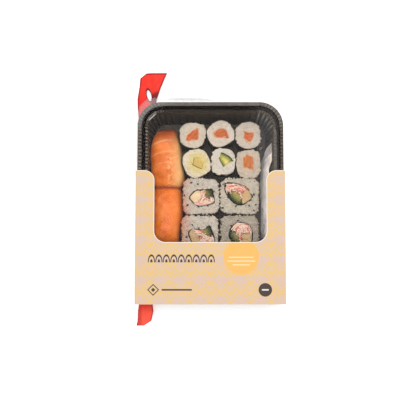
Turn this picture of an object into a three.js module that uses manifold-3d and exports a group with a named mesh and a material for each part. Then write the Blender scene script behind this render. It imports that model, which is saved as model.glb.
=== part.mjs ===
// A takeaway sushi tray. A black formed tray is sealed with clear film and pushed into a card sleeve with
// a U-shaped window. It holds salmon nigiri, thin maki rolls, inside-out uramaki rolls and a sauce sachet,
// and a packet of chopsticks lies in the channel between the tray's left wall and the sleeve.
//
// Millimetres, +Z up. The origin is on the underside of the sleeve, below the middle of the tray, and +Y
// points along the tray towards the end that stands out of the sleeve.
import * as THREE from "three";
import { mergeVertices } from "three/addons/utils/BufferGeometryUtils.js";
import Module from "manifold-3d";

const wasm = await Module();
wasm.setup();

// ---- Driving dimensions ----

const GAP = 0.3; // between pieces that touch
const SLEEVE = {
  halfX: 69.8,
  height: 41.2,
  board: 0.5,
  frontY: -95.7,
  backY: 28.5,
  foldRadius: 1.2,
  windowHalfX: 52.2,
  windowFrontY: -38.5,
  windowRadius: 10.5,
  earRadius: 9.5, // inner top corner of each ear beside the window
};
const TRAY = {
  halfX: 68.5,
  halfY: 93.5,
  cornerRadius: 22.5,
  floorRadius: 12,
  sheet: 0.7, // thickness of the formed sheet
  height: 38.8,
  lip: 1.6, // how far the rim's outer edge turns down
  flange: 4.8, // flat rim that the film is sealed to
  stepWidth: 1.8, // steep step from the rim down to the ledge
  stepDepth: 2.8,
  ledge: 2.9,
  draft: 3.5, // how far the wall leans in on its way down
  footRadius: 2.4, // between wall and floor
  fluteDepth: 0.6, // of the flutes in the corners
  cornerSteps: 12,
};
const FILM = { thickness: 0.2, gap: 0.2, cornerSteps: 10, tab: 3.2, tabFromY: 72, tabToX: 18, tabFade: 30 };
const MAKI = { height: 24.5, nori: 0.45, taper: 0.93, grain: 0.35, steps: 24 };
const URAMAKI = { height: 26.5, nori: 0.45, taper: 0.95, grain: 0.55, steps: 28 };
const NIGIRI = {
  halfWidth: 14.7,
  halfLength: 27.6,
  crest: 29.2,
  slice: 3.4, // thickness of the salmon
  innerEdge: 9, // height of the slice's edge beside the rolls
  wallEdge: 21.5, // and of the edge that lies against the tray's wall
  droop: 11, // at the ends
  riceWidth: 10.4,
  riceLength: 22,
  grain: 0.4,
};
const SACHET = {
  thickness: 4.4,
  seal: 5,
  farY: 55.5,
  nearY: -34,
  low: 3.2, // height of the bottom edge
  high: 33.4, // and of the top edge
  lowX: 49.4,
  lean: 0.25, // outwards for each millimetre up
  farSkew: 15, // how much further the top corner reaches at the far end
};
// The wrapper from its near end to its far end: y, left side, right side and half its thickness.
const WRAPPER = [
  [-118, -71.6, -64.4, 0.35],
  [-113.5, -70.6, -57.4, 0.8],
  [-104, -70.2, -55.2, 1.9],
  [-95.2, -69.0, -56.4, 2.8],
  [-60, -68.9, -56.9, 3.1],
  [28, -68.9, -56.9, 3.1],
  [60, -69.6, -56.9, 3.1],
  [84, -70.9, -56.3, 2.6],
  [96, -72.2, -54.6, 1.3],
  [105, -72.6, -53.3, 0.5],
  [117, -70.7, -49.2, 0.45],
  [125, -69.6, -45.8, 0.45],
  [129.5, -62.6, -43.7, 0.45],
];
const HANG_HOLE = { x: -61, y: 107.5, halfX: 2.1, halfY: 5.9, tilt: 0.24 };

const TRAY_BASE = SLEEVE.board + GAP;
const TRAY_TOP = TRAY_BASE + TRAY.height;
const FLOOR = TRAY_BASE + TRAY.sheet + GAP; // what the food stands on

// Thin rolls, each with a rounded outline and one filling, whose corners are measured from the roll's
// middle. Lean is how far the top stands out over the foot along Y.
const MAKI_ROLLS = [
  { x: -17.1, y: 64.4, halfX: 12.8, halfY: 12.6, square: 2.7, turn: -0.1, lean: 1.6, filling: "salmon",
    corners: [[-6.4, -5.2], [5.6, -3.8], [5.8, 6.2], [3.6, 7.2], [-2.8, 2.2]] },
  { x: 9.7, y: 65.6, halfX: 13.4, halfY: 12.9, square: 2.4, turn: 0.5, lean: 2.0, filling: "salmon",
    corners: [[-5.9, -4.3], [3.6, -3.4], [7.2, -4.2], [6.8, 0.8], [3.4, 4.9], [-1.4, 4.9], [-7.4, 2.0]] },
  { x: 36.2, y: 64.2, halfX: 12.3, halfY: 13.6, square: 2.5, turn: 0.1, lean: 1.8, filling: "salmon",
    corners: [[-3.8, -6.2], [0.6, -7.6], [4.4, -3.0], [4.9, 3.4], [0.4, 2.6], [-3.4, 4.4]] },
  { x: -13.4, y: 37.2, halfX: 13.4, halfY: 14.1, square: 2.5, turn: 0.35, lean: 0, filling: "omelette",
    corners: [[-4.4, -3.6], [5.2, -6.2], [6.6, 4.6], [-1.8, 6.0]] },
  { x: 12.3, y: 38.8, halfX: 11.7, halfY: 13.0, square: 3.3, turn: -0.05, lean: 0, filling: "cucumber",
    corners: [[-3.6, 3.2], [0.8, -5.8], [8.8, 0.6], [3.6, 6.6], [-2.0, 8.2]] },
  { x: 36.3, y: 36.3, halfX: 11.9, halfY: 14.1, square: 3.1, turn: 0.03, lean: 0, filling: "salmon",
    corners: [[-4.8, -3.8], [4.4, -6.6], [4.2, 6.2], [-1.6, 8.4], [-5.2, 2.4]] },
];

// Inside-out rolls. The pocket is the nori round the fillings. The fillings are laid in order, each clear
// of those before it, and the last one fills what is left.
const URAMAKI_ROLLS = [
  { x: -9.1, y: 5.3, halfX: 17.9, halfY: 17.7, square: 3.2, turn: 0.02,
    pocket: [[-12.2, -1.2], [-5.4, -8.6], [0.6, -9.6], [13.0, -6.6], [12.6, -1.4], [11.0, 7.6], [4.0, 6.4],
      [-5.0, 6.4]],
    fillings: [
      ["cucumber", [[4.0, -1.6], [14.0, -2.6], [12.0, 9.0], [3.4, 8.0]]],
      ["avocado", [[-14.0, 0.0], [-5.6, -8.0], [1.0, -1.6], [0.6, 4.0], [-5.0, 9.0]]],
      ["surimi"],
    ] },
  { x: 27.8, y: 5.4, halfX: 19.0, halfY: 17.6, square: 3.3, turn: -0.04,
    pocket: [[-14.2, 5.2], [-9.8, -2.6], [-3.6, -8.4], [2.8, -8.6], [13.4, -2.0], [8.0, 7.6], [3.6, 10.4],
      [-6.6, 12.6], [-13.2, 12.0]],
    fillings: [
      ["avocado", [[2.6, -10.0], [16.0, -2.0], [9.0, 9.0], [1.4, 2.4]]],
      ["cucumber", [[-13.0, 3.6], [-4.0, -12.0], [2.0, -9.0], [0.6, 2.0], [-4.4, 5.0]]],
      ["surimi"],
    ] },
  { x: -10.0, y: -30.1, halfX: 17.9, halfY: 17.7, square: 3.4, turn: 0.0,
    pocket: [[-11.6, 1.6], [-7.6, -10.2], [5.6, -12.0], [14.0, -8.0], [13.4, -2.2], [9.4, 8.8], [2.6, 3.2],
      [-6.4, 4.8]],
    fillings: [
      ["cucumber", [[2.4, -0.6], [15.0, -3.6], [10.0, 12.0], [1.6, 5.0]]],
      ["avocado", [[-14.0, 3.0], [-9.0, -13.0], [0.6, -13.0], [0.2, -4.4], [-5.4, 2.8]]],
      ["surimi"],
    ] },
  { x: 27.4, y: -30.0, halfX: 18.9, halfY: 17.7, square: 3.4, turn: 0.03,
    pocket: [[-11.0, -1.4], [-6.4, -9.4], [3.6, -11.0], [12.2, -9.0], [12.6, 1.6], [9.0, 8.8], [-1.0, 11.4],
      [-8.0, 6.4]],
    fillings: [
      ["cucumber", [[-14.0, -2.0], [-6.4, -13.0], [0.8, -12.0], [-0.8, -1.6], [-8.4, 5.0]]],
      ["avocado", [[1.6, -13.0], [14.0, -12.0], [14.0, 0.4], [2.0, 0.2]]],
      ["surimi"],
    ] },
  { x: -9.6, y: -62.6, halfX: 17.9, halfY: 15.2, square: 3.4, turn: 0.02,
    pocket: [[-11.8, -1.0], [-5.6, -8.2], [6.4, -8.0], [12.4, -0.6], [6.6, 7.4], [-4.6, 7.6]],
    fillings: [
      ["cucumber", [[2.6, 0.8], [14.0, -1.0], [8.0, 10.0], [1.6, 10.0]]],
      ["avocado", [[-14.0, -1.0], [-6.0, -12.0], [1.2, -10.0], [1.0, 0.6], [-8.0, 4.0]]],
      ["surimi"],
    ] },
  { x: 27.4, y: -62.5, halfX: 18.7, halfY: 15.2, square: 3.4, turn: -0.02,
    pocket: [[-12.6, 0.8], [-6.0, -7.8], [5.0, -8.0], [12.6, -0.6], [5.6, 7.8], [-5.6, 7.8]],
    fillings: [
      ["cucumber", [[-14.0, 1.6], [-6.0, -12.0], [-0.4, -10.0], [-1.2, 1.8]]],
      ["avocado", [[1.2, -10.0], [15.0, -1.0], [6.0, 3.4], [0.6, 2.0]]],
      ["surimi"],
    ] },
];
const NIGIRI_PIECES = [
  { x: -41.7, y: 41.0, yaw: 0.03, taper: 0.15 },
  { x: -41.6, y: -15.0, yaw: -0.01, taper: 0.02 },
];

// ---- Materials ----

const COLOURS = {
  tray: [0x2b2724, 0.38],
  sleeve: [0xe9c9a6, 0.8],
  film: [0xf2f4f5, 0.08],
  rice: [0xe6dfd2, 0.6],
  nori: [0x20261c, 0.7],
  salmon: [0xe57a3c, 0.35],
  omelette: [0xdcc46e, 0.55],
  cucumber: [0x9aa95a, 0.4],
  avocado: [0xdcc08c, 0.5],
  surimi: [0xe9a893, 0.5],
  sachet: [0xc9c3bc, 0.25],
  wrapper: [0xf04436, 0.35],
};
const materials = Object.fromEntries(
  Object.entries(COLOURS).map(([name, [color, roughness]]) => [
    name,
    new THREE.MeshStandardMaterial({ name, color, roughness, metalness: 0 }),
  ]),
);

const pack = new THREE.Group();
pack.name = "sushi_tray";

function add(name, material, geometry) {
  const mesh = new THREE.Mesh(geometry, materials[material]);
  mesh.name = name;
  pack.add(mesh);
  return mesh;
}

// ---- Shape helpers ----

// A repeatable number from -1 to 1 for three whole numbers.
function scatter(a, b, c) {
  const s = Math.sin(a * 127.1 + b * 311.7 + c * 74.7) * 43758.5453;
  return 2 * (s - Math.floor(s)) - 1;
}

const bend = (value, power) => Math.sign(value) * Math.abs(value) ** power;

// A closed body from points and triangles, turned to face outwards.
function body(points, faces) {
  let volume = 0;
  for (let i = 0; i < faces.length; i += 3) {
    const [a, b, c] = [points[faces[i]], points[faces[i + 1]], points[faces[i + 2]]];
    volume += a.clone().cross(b).dot(c);
  }
  if (volume < 0) faces.reverse();
  const geometry = new THREE.BufferGeometry().setFromPoints(points);
  geometry.setIndex(faces);
  return geometry;
}

// Joins rings of equally many points. The first and last ring are capped, or joined to each other.
function loft(rings, capped = true) {
  const count = rings[0].length;
  const points = rings.flat();
  const faces = [];
  const join = (a, b) => {
    for (let i = 0; i < count; i++) {
      const j = (i + 1) % count;
      faces.push(a * count + i, a * count + j, b * count + j, a * count + i, b * count + j, b * count + i);
    }
  };
  const last = rings.length - 1;
  for (let k = 0; k < last; k++) join(k, k + 1);
  if (!capped) {
    join(last, 0);
    return body(points, faces);
  }
  for (const k of [0, last]) {
    const centre = rings[k].reduce((sum, p) => sum.add(p), new THREE.Vector3()).divideScalar(count);
    const middle = points.push(centre) - 1;
    for (let i = 0; i < count; i++) {
      const [a, b] = [k * count + i, k * count + ((i + 1) % count)];
      faces.push(...(k === 0 ? [b, a, middle] : [a, b, middle]));
    }
  }
  return body(points, faces);
}

// A slab between two grids of points, grid[row][column], one above the other.
function slab(upper, lower) {
  const [rows, columns] = [upper.length, upper[0].length];
  const points = [...upper.flat(), ...lower.flat()];
  const faces = [];
  const quad = (a, b, c, d) => faces.push(a, b, c, a, c, d);
  const top = (row, column) => row * columns + column;
  const under = (row, column) => rows * columns + top(row, column);
  for (let r = 0; r + 1 < rows; r++) {
    for (let c = 0; c + 1 < columns; c++) {
      quad(top(r, c), top(r, c + 1), top(r + 1, c + 1), top(r + 1, c));
      quad(under(r + 1, c), under(r + 1, c + 1), under(r, c + 1), under(r, c));
    }
    const side = columns - 1;
    quad(top(r, 0), top(r + 1, 0), under(r + 1, 0), under(r, 0));
    quad(top(r + 1, side), top(r, side), under(r, side), under(r + 1, side));
  }
  for (let c = 0; c + 1 < columns; c++) {
    const end = rows - 1;
    quad(top(0, c + 1), top(0, c), under(0, c), under(0, c + 1));
    quad(top(end, c), top(end, c + 1), under(end, c + 1), under(end, c));
  }
  return body(points, faces);
}

function toSolid(geometry) {
  const bare = new THREE.BufferGeometry().setAttribute("position", geometry.getAttribute("position"));
  if (geometry.index) bare.setIndex(geometry.index);
  const merged = mergeVertices(bare, 1e-4);
  return new wasm.Manifold(
    new wasm.Mesh({
      numProp: 3,
      vertProperties: new Float32Array(merged.getAttribute("position").array),
      triVerts: new Uint32Array(merged.index.array),
    }),
  );
}

// The geometry of a solid, without the scraps that a cut can leave.
function fromSolid(solid) {
  const largest = solid.decompose().reduce((a, b) => (a.volume() > b.volume() ? a : b));
  const mesh = largest.getMesh();
  const geometry = new THREE.BufferGeometry();
  geometry.setAttribute("position", new THREE.BufferAttribute(mesh.vertProperties, 3));
  geometry.setIndex(new THREE.BufferAttribute(mesh.triVerts, 1));
  return geometry;
}

// An anticlockwise outline moved outwards by a distance, or inwards if that is negative.
function offsetOutline(outline, distance) {
  const count = outline.length;
  return outline.map(([x, y], i) => {
    const [px, py] = outline[(i + count - 1) % count];
    const [nx, ny] = outline[(i + 1) % count];
    const before = new THREE.Vector2(y - py, px - x).normalize();
    const after = new THREE.Vector2(ny - y, x - nx).normalize();
    const out = before.clone().add(after).normalize();
    const reach = distance / Math.max(0.5, out.dot(before));
    return [x + reach * out.x, y + reach * out.y];
  });
}

// An outline with each corner cut back, which leaves the soft corners of cut food.
function softened(outline, share = 0.22) {
  return outline.flatMap(([x, y], i) => {
    const [nx, ny] = outline[(i + 1) % outline.length];
    return [
      [x + (nx - x) * share, y + (ny - y) * share],
      [nx + (x - nx) * share, ny + (y - ny) * share],
    ];
  });
}

// An upright block with the given outline about a place, from one height to another, round a hole if given.
function block(outline, place, low, high, hole) {
  const points = (ring) => ring.map(([x, y]) => new THREE.Vector2(x + place.x, y + place.y));
  const shape = new THREE.Shape(points(outline));
  if (hole) shape.holes.push(new THREE.Path(points(hole)));
  return new THREE.ExtrudeGeometry(shape, { depth: high - low, bevelEnabled: false }).translate(0, 0, low);
}

// Points round a rectangle with round corners, anticlockwise from the +X side, each with its outward
// direction and its step round the corner.
function rectangleRing(halfX, halfY, radius, cornerSteps = TRAY.cornerSteps) {
  const corners = [[1, 1], [-1, 1], [-1, -1], [1, -1]];
  return corners.flatMap(([sx, sy], quarter) =>
    Array.from({ length: cornerSteps + 1 }, (_, step) => {
      const angle = (Math.PI / 2) * (quarter + step / cornerSteps);
      const out = new THREE.Vector2(Math.cos(angle), Math.sin(angle));
      const [x, y] = [sx * (halfX - radius) + radius * out.x, sy * (halfY - radius) + radius * out.y];
      return { x, y, out, step };
    }),
  );
}

// ---- Tray ----

// Stations down the inside of the tray, from the lip of the rim to the floor: how far in from the rim's
// outer edge, how high, the corner's radius there and how much of the flutes shows.
function trayStations() {
  const { cornerRadius, floorRadius, lip, flange, stepWidth, stepDepth, ledge, draft, footRadius } = TRAY;
  const ledgeZ = TRAY_TOP - stepDepth;
  const ledgeIn = flange + stepWidth + ledge;
  const wallIn = ledgeIn + draft;
  const floorZ = TRAY_BASE + TRAY.sheet;
  const at = (inset, z, flutes = 0) => {
    const share = Math.min(1, inset / wallIn);
    return { inset, z, radius: cornerRadius + (floorRadius - cornerRadius) * share, flutes };
  };
  return {
    rim: [at(0, TRAY_TOP - lip), at(0, TRAY_TOP - 0.4), at(0.5, TRAY_TOP), at(flange, TRAY_TOP)],
    step: [at(flange + stepWidth, ledgeZ + 0.2), at(ledgeIn, ledgeZ)],
    wall: [at(ledgeIn + 0.5, ledgeZ - 1.6, 1), at(wallIn, floorZ + footRadius, 1)],
    foot: [at(wallIn + 0.3 * footRadius, floorZ + 0.3 * footRadius, 0.6), at(wallIn + footRadius, floorZ)],
  };
}

function trayRing({ inset, z, radius, flutes }, outwards = 0) {
  const ring = rectangleRing(TRAY.halfX - inset + outwards, TRAY.halfY - inset + outwards, radius + outwards);
  return ring.map(({ x, y, out, step }) => {
    const inCorner = step > 0 && step < TRAY.cornerSteps;
    const shift = inCorner ? flutes * TRAY.fluteDepth * (step % 2 ? -1 : 1) : 0;
    return new THREE.Vector3(x + shift * out.x, y + shift * out.y, z);
  });
}

function makeTray() {
  const { sheet } = TRAY;
  const { rim, step, wall, foot } = trayStations();
  const inside = [...rim, ...step, ...wall, ...foot].map((station) => trayRing(station));
  const lowered = (station, outwards) => trayRing({ ...station, z: station.z - sheet }, outwards);
  const outside = [
    trayRing({ ...rim[0], inset: sheet }),
    trayRing({ ...rim[2], inset: sheet, z: TRAY_TOP - sheet }),
    trayRing({ ...rim[3], inset: TRAY.flange - 0.5 * sheet, z: TRAY_TOP - sheet }),
    lowered(step[0], 0.5 * sheet),
    lowered(step[1], 0.5 * sheet),
    ...wall.map((station) => lowered(station, sheet)),
    lowered(foot[0], 0.6 * sheet),
    lowered(foot[1], 0),
  ];
  add("tray", "tray", loft([...inside.reverse(), ...outside]));
}

// ---- Film lid, with its peel tab along the left part of the far edge ----

function makeFilm() {
  const z = TRAY_TOP + FILM.gap;
  const outline = rectangleRing(TRAY.halfX, TRAY.halfY, TRAY.cornerRadius, FILM.cornerSteps);
  const ring = (height) =>
    outline.map(({ x, y, out }) => {
      const along = THREE.MathUtils.smoothstep(y, FILM.tabFromY, TRAY.halfY);
      const across = 1 - THREE.MathUtils.smoothstep(x, FILM.tabToX - FILM.tabFade, FILM.tabToX);
      return new THREE.Vector3(x + GAP * out.x, y + GAP * out.y + FILM.tab * along * across, height);
    });
  add("film_lid", "film", loft([ring(z), ring(z + FILM.thickness)]));
}

// ---- Sleeve ----

function roundedBox(shape, halfX, low, high, radius) {
  shape.moveTo(halfX, low + radius);
  shape.lineTo(halfX, high - radius);
  shape.absarc(halfX - radius, high - radius, radius, 0, Math.PI / 2);
  shape.lineTo(-halfX + radius, high);
  shape.absarc(-halfX + radius, high - radius, radius, Math.PI / 2, Math.PI);
  shape.lineTo(-halfX, low + radius);
  shape.absarc(-halfX + radius, low + radius, radius, Math.PI, 1.5 * Math.PI);
  shape.lineTo(halfX - radius, low);
  shape.absarc(halfX - radius, low + radius, radius, 1.5 * Math.PI, 2 * Math.PI);
  return shape;
}

// The cut that leaves an ear on each side: round at the bottom, and flared round each ear's inner corner.
function windowShape() {
  const { windowHalfX: w, windowFrontY: front, backY: back, windowRadius: r, earRadius: ear } = SLEEVE;
  const past = back + 5;
  const shape = new THREE.Shape();
  shape.moveTo(-w - ear, past);
  shape.lineTo(-w - ear, back);
  shape.absarc(-w - ear, back - ear, ear, Math.PI / 2, 0, true);
  shape.lineTo(-w, front + r);
  shape.absarc(-w + r, front + r, r, Math.PI, 1.5 * Math.PI);
  shape.lineTo(w - r, front);
  shape.absarc(w - r, front + r, r, 1.5 * Math.PI, 2 * Math.PI);
  shape.lineTo(w, back - ear);
  shape.absarc(w + ear, back - ear, ear, Math.PI, Math.PI / 2, true);
  shape.lineTo(w + ear, past);
  return shape;
}

function makeSleeve() {
  const { halfX, height, board, frontY, backY, foldRadius } = SLEEVE;
  const section = roundedBox(new THREE.Shape(), halfX, 0, height, foldRadius);
  section.holes.push(roundedBox(new THREE.Path(), halfX - board, board, height - board, foldRadius - board));
  const tube = new THREE.ExtrudeGeometry(section, { depth: backY - frontY, bevelEnabled: false, curveSegments: 4 });
  tube.rotateX(Math.PI / 2).translate(0, backY, 0);
  const cutter = new THREE.ExtrudeGeometry(windowShape(), { depth: 6, bevelEnabled: false, curveSegments: 8 });
  cutter.translate(0, 0, height - 4);
  add("sleeve", "sleeve", fromSolid(toSolid(tube).subtract(toSolid(cutter))));
}

// ---- Rolls ----

// The radius of a rounded square at an angle, a little out of true so that no two rolls are alike.
function rollRadius({ halfX, halfY, square, turn }, angle, seed) {
  const [c, s] = [Math.abs(Math.cos(angle - turn)), Math.abs(Math.sin(angle - turn))];
  const even = ((c / halfX) ** square + (s / halfY) ** square) ** (-1 / square);
  return even * (0.988 + 0.012 * Math.sin(3 * angle + seed * 2.3));
}

// A level ring of a roll, smaller than its top outline by an inset.
function rollRing(roll, size, steps, seed, { share, inset = 0, spread = 1, rough = 0, lift = 0 }) {
  return Array.from({ length: steps }, (_, i) => {
    const angle = (2 * Math.PI * i) / steps;
    const full = rollRadius(roll, angle, seed) * (size.taper + (1 - size.taper) * share);
    const radius = (full - inset) * spread + rough * scatter(i, Math.round(10 * share), seed);
    const z = FLOOR + size.height * share + lift + rough * scatter(i, Math.round(20 * spread), seed + 3);
    return new THREE.Vector3(roll.x + radius * Math.cos(angle), roll.y + radius * Math.sin(angle), z);
  });
}

// A block of rice whose top, and side if asked, has bumps the size of grains.
function riceBlock(roll, size, seed, inset, sideGrain) {
  const ring = (options) => rollRing(roll, size, size.steps, seed, { inset, ...options });
  return loft([
    ring({ share: 0 }),
    ...(sideGrain ? [0.33, 0.66].map((share) => ring({ share, inset: inset + sideGrain, rough: sideGrain })) : []),
    ring({ share: 0.95, lift: 0.4 }),
    ring({ share: 1, spread: 0.93, rough: size.grain * 0.6 }),
    ring({ share: 1, spread: 0.68, rough: size.grain }),
    ring({ share: 1, spread: 0.36, rough: size.grain * 0.8 }),
  ]);
}

// Leans a roll's pieces over its foot, as rolls that rest against the tray's wall do. The top stays in place.
function leaned(geometry, { lean = 0 }, height) {
  const slope = new THREE.Matrix4().makeShear(0, 0, 0, 0, 0, lean / height);
  const top = FLOOR + height;
  return geometry.translate(0, 0, -top).applyMatrix4(slope).translate(0, 0, top);
}

function makeMaki(roll, index) {
  const name = `maki_${index + 1}`;
  const { height, nori, steps } = MAKI;
  const [low, high] = [FLOOR, FLOOR + height];
  const put = (piece, material, geometry) =>
    add(`${name}_${piece}`, material, leaned(geometry, roll, height));

  const ring = (share, inset) => rollRing(roll, MAKI, steps, index, { share, inset, lift: share ? -0.3 : 0 });
  put("nori", "nori", loft([ring(0, 0), ring(1, 0), ring(1, nori), ring(0, nori)], false));

  const outline = softened(roll.corners);
  const hole = block(offsetOutline(outline, GAP), roll, low - 1, high + 2);
  const rice = riceBlock(roll, MAKI, index, nori + GAP, 0);
  put("rice", "rice", fromSolid(toSolid(rice).subtract(toSolid(hole))));
  put(roll.filling, roll.filling, block(outline, roll, low, high + 0.3));
}

function makeUramaki(roll, index) {
  const name = `uramaki_${index + 1}`;
  const { height, nori, grain } = URAMAKI;
  const [low, high] = [FLOOR, FLOOR + height];
  const pocket = softened(roll.pocket, 0.18);
  const hole = block(offsetOutline(pocket, GAP), roll, low - 1, high + 3);
  const rice = riceBlock(roll, URAMAKI, index + 20, grain, grain);
  add(`${name}_rice`, "rice", fromSolid(toSolid(rice).subtract(toSolid(hole))));
  add(`${name}_nori`, "nori", block(pocket, roll, low, high - 0.2, offsetOutline(pocket, -nori)));

  let room = toSolid(block(offsetOutline(pocket, -nori - GAP), roll, low, high + 0.3));
  for (const [filling, corners] of roll.fillings) {
    if (!corners) {
      add(`${name}_${filling}`, filling, fromSolid(room));
      continue;
    }
    const piece = toSolid(block(corners, roll, low - 1, high));
    add(`${name}_${filling}`, filling, fromSolid(room.intersect(piece)));
    room = room.subtract(toSolid(block(offsetOutline(corners, GAP), roll, low - 1, high + 2)));
  }
}

// ---- Nigiri ----

// A point of the salmon slice, at a place along the piece from -1 to 1 and an angle across it from the
// side of the rolls to the side of the wall. Depth measures down into the slice.
function slicePoint(piece, index, along, angle, depth) {
  const { halfWidth, halfLength, crest, innerEdge, wallEdge, droop } = NIGIRI;
  const narrowing = (1 - piece.taper * along) * (1 - 0.2 * Math.abs(along) ** 4);
  const waist = 1 + 0.015 * Math.sin(4 * along + index * 2);
  const width = halfWidth * narrowing * waist - depth;
  const top = crest - droop * Math.abs(along) ** 5 - 0.5 * Math.sin(5 * along + index) - depth;
  const side = (1 - Math.cos(angle)) / 2;
  const edge = Math.min(innerEdge + (wallEdge - innerEdge) * side, top - 2.5);
  const z = edge + (top - edge) * Math.sin(angle) ** 0.8;
  return new THREE.Vector3(width * bend(Math.cos(angle), 0.8), along * halfLength, z);
}

function makeNigiri(piece, index) {
  const name = `nigiri_${index + 1}`;
  const { crest, slice, riceWidth, riceLength, grain } = NIGIRI;
  const [rows, columns] = [12, 8];
  const grid = (depth) =>
    Array.from({ length: rows + 1 }, (_, r) =>
      Array.from({ length: columns + 1 }, (_, c) =>
        slicePoint(piece, index, (2 * r) / rows - 1, Math.PI * (c / columns), depth),
      ),
    );
  const place = (mesh) => {
    mesh.position.set(piece.x, piece.y, 0);
    mesh.rotation.z = piece.yaw;
  };
  place(add(`${name}_salmon`, "salmon", slab(grid(0), grid(slice))));

  // The rice from its foot to its top: share of the height and share of the full width.
  const levels = [[0, 0.9], [0.2, 1], [0.5, 0.98], [0.78, 0.84], [1, 0.5]];
  const riceHeight = crest - slice - 1.9 - FLOOR;
  const steps = 18;
  const rings = levels.map(([level, size], row) =>
    Array.from({ length: steps }, (_, i) => {
      const angle = (2 * Math.PI * i) / steps;
      const rough = grain * scatter(i, row, index + 40);
      const x = (riceWidth * size + rough) * bend(Math.cos(angle), 0.65);
      const y = (riceLength * (0.45 + 0.55 * size) + rough) * bend(Math.sin(angle), 0.75);
      const lift = row > 0 && row < 4 ? grain * scatter(i, row + 3, index) : 0;
      return new THREE.Vector3(x, y, FLOOR + riceHeight * level + lift);
    }),
  );
  place(add(`${name}_rice`, "rice", loft(rings)));
}

// ---- Sachet, standing on its long edge between the rolls and the right wall ----

function makeSachet() {
  const { thickness, seal, farY, nearY, low, high, lowX, lean, farSkew } = SACHET;
  const length = farY - nearY;
  const plump = [0.16, 0.34, 0.5, 0.66, 0.84].map((along) => [along, 1 - 1.5 * Math.abs(along - 0.5) ** 2]);
  const stations = [[0, 0.1], [seal / length, 0.16], ...plump, [1 - seal / length, 0.16], [1, 0.1]];
  const steps = 12;
  const rings = stations.map(([along, fullness]) =>
    Array.from({ length: steps }, (_, i) => {
      const angle = (2 * Math.PI * i) / steps;
      const up = (1 + bend(Math.sin(angle), 0.8)) / 2;
      const z = low + (high - low) * up;
      const out = (thickness / 2) * fullness * bend(Math.cos(angle), 0.9);
      const skew = farSkew * (1 - up) * THREE.MathUtils.smoothstep(along, 0.45, 1);
      return new THREE.Vector3(lowX + lean * (z - low) + out, nearY + length * along - skew, z);
    }),
  );
  add("sauce_sachet", "sachet", loft(rings));
}

// ---- Chopsticks in their wrapper: filled along the tray, flat beyond its far end ----

function makeWrapper() {
  const low = SLEEVE.board + GAP;
  const steps = 12;
  const rings = WRAPPER.map(([y, left, right, thick]) =>
    Array.from({ length: steps }, (_, i) => {
      const angle = (2 * Math.PI * i) / steps;
      const across = ((right - left) / 2) * bend(Math.cos(angle), 0.7);
      return new THREE.Vector3((left + right) / 2 + across, y, low + thick * (1 + bend(Math.sin(angle), 0.8)));
    }),
  );
  const { x, y, halfX, halfY, tilt } = HANG_HOLE;
  const hole = new THREE.CylinderGeometry(1, 1, 12, 14).rotateX(Math.PI / 2).scale(halfX, halfY, 1);
  hole.rotateZ(tilt).translate(x, y, low);
  add("chopsticks_wrapper", "wrapper", fromSolid(toSolid(loft(rings)).subtract(toSolid(hole))));
}

makeTray();
makeFilm();
makeSleeve();
MAKI_ROLLS.forEach(makeMaki);
URAMAKI_ROLLS.forEach(makeUramaki);
NIGIRI_PIECES.forEach(makeNigiri);
makeSachet();
makeWrapper();

export default pack;
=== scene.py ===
"""Looks for a takeaway sushi tray: tray, film lid, card sleeve, chopstick packet, sachet and sushi."""
import math
from functools import reduce

import bmesh
import bpy
import numpy as np
from bpy.props import FloatProperty, FloatVectorProperty, PointerProperty
from bpy.types import Operator, Panel, PropertyGroup
from mathutils import Euler, Matrix, Vector
from mathutils.bvhtree import BVHTree


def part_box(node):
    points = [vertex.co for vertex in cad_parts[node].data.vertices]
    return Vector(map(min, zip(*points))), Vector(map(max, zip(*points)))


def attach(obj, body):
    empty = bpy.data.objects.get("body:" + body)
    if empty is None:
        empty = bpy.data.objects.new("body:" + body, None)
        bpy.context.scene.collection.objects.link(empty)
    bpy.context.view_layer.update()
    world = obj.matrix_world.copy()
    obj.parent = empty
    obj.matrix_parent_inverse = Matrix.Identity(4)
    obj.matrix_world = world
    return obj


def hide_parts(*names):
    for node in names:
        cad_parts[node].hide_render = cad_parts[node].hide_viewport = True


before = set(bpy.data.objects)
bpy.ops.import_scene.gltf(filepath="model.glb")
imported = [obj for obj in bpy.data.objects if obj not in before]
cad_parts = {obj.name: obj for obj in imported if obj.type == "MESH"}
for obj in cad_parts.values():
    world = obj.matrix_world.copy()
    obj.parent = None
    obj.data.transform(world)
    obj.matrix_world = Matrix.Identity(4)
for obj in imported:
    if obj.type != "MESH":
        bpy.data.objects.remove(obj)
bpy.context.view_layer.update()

bl_info = {
    "name": "Takeaway Sushi Tray",
    "version": (1, 0, 0),
    "blender": (4, 5, 0),
    "location": "View3D > Sidebar > Sushi",
    "description": "Dresses the frame of a takeaway sushi tray with detailed pieces and finishes",
    "category": "Add Mesh",
}

MM = 0.001
BODY = "root"
TURN = 2 * math.pi
SOLID_POWER = 3.3  # How square the rice solids are: a superellipse of this power.

# ---- Sizes and colours that a user would change ----


def linear(*screen):
    """A colour in linear light from red, green and blue as a screen shows them, 0 to 255."""
    shares = [level / 255 for level in screen]
    return tuple(s / 12.92 if s < 0.0405 else ((s + 0.055) / 1.055) ** 2.4 for s in shares)


def size(name, description, millimetres):
    settings = {"default": millimetres * MM, "min": 0.0, "unit": "LENGTH", "precision": 5}
    return FloatProperty(name=name, description=description, **settings)


def colour(name, description, *screen):
    settings = {"default": linear(*screen), "size": 3, "min": 0.0, "max": 1.0, "subtype": "COLOR"}
    return FloatVectorProperty(name=name, description=description, **settings)


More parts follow.
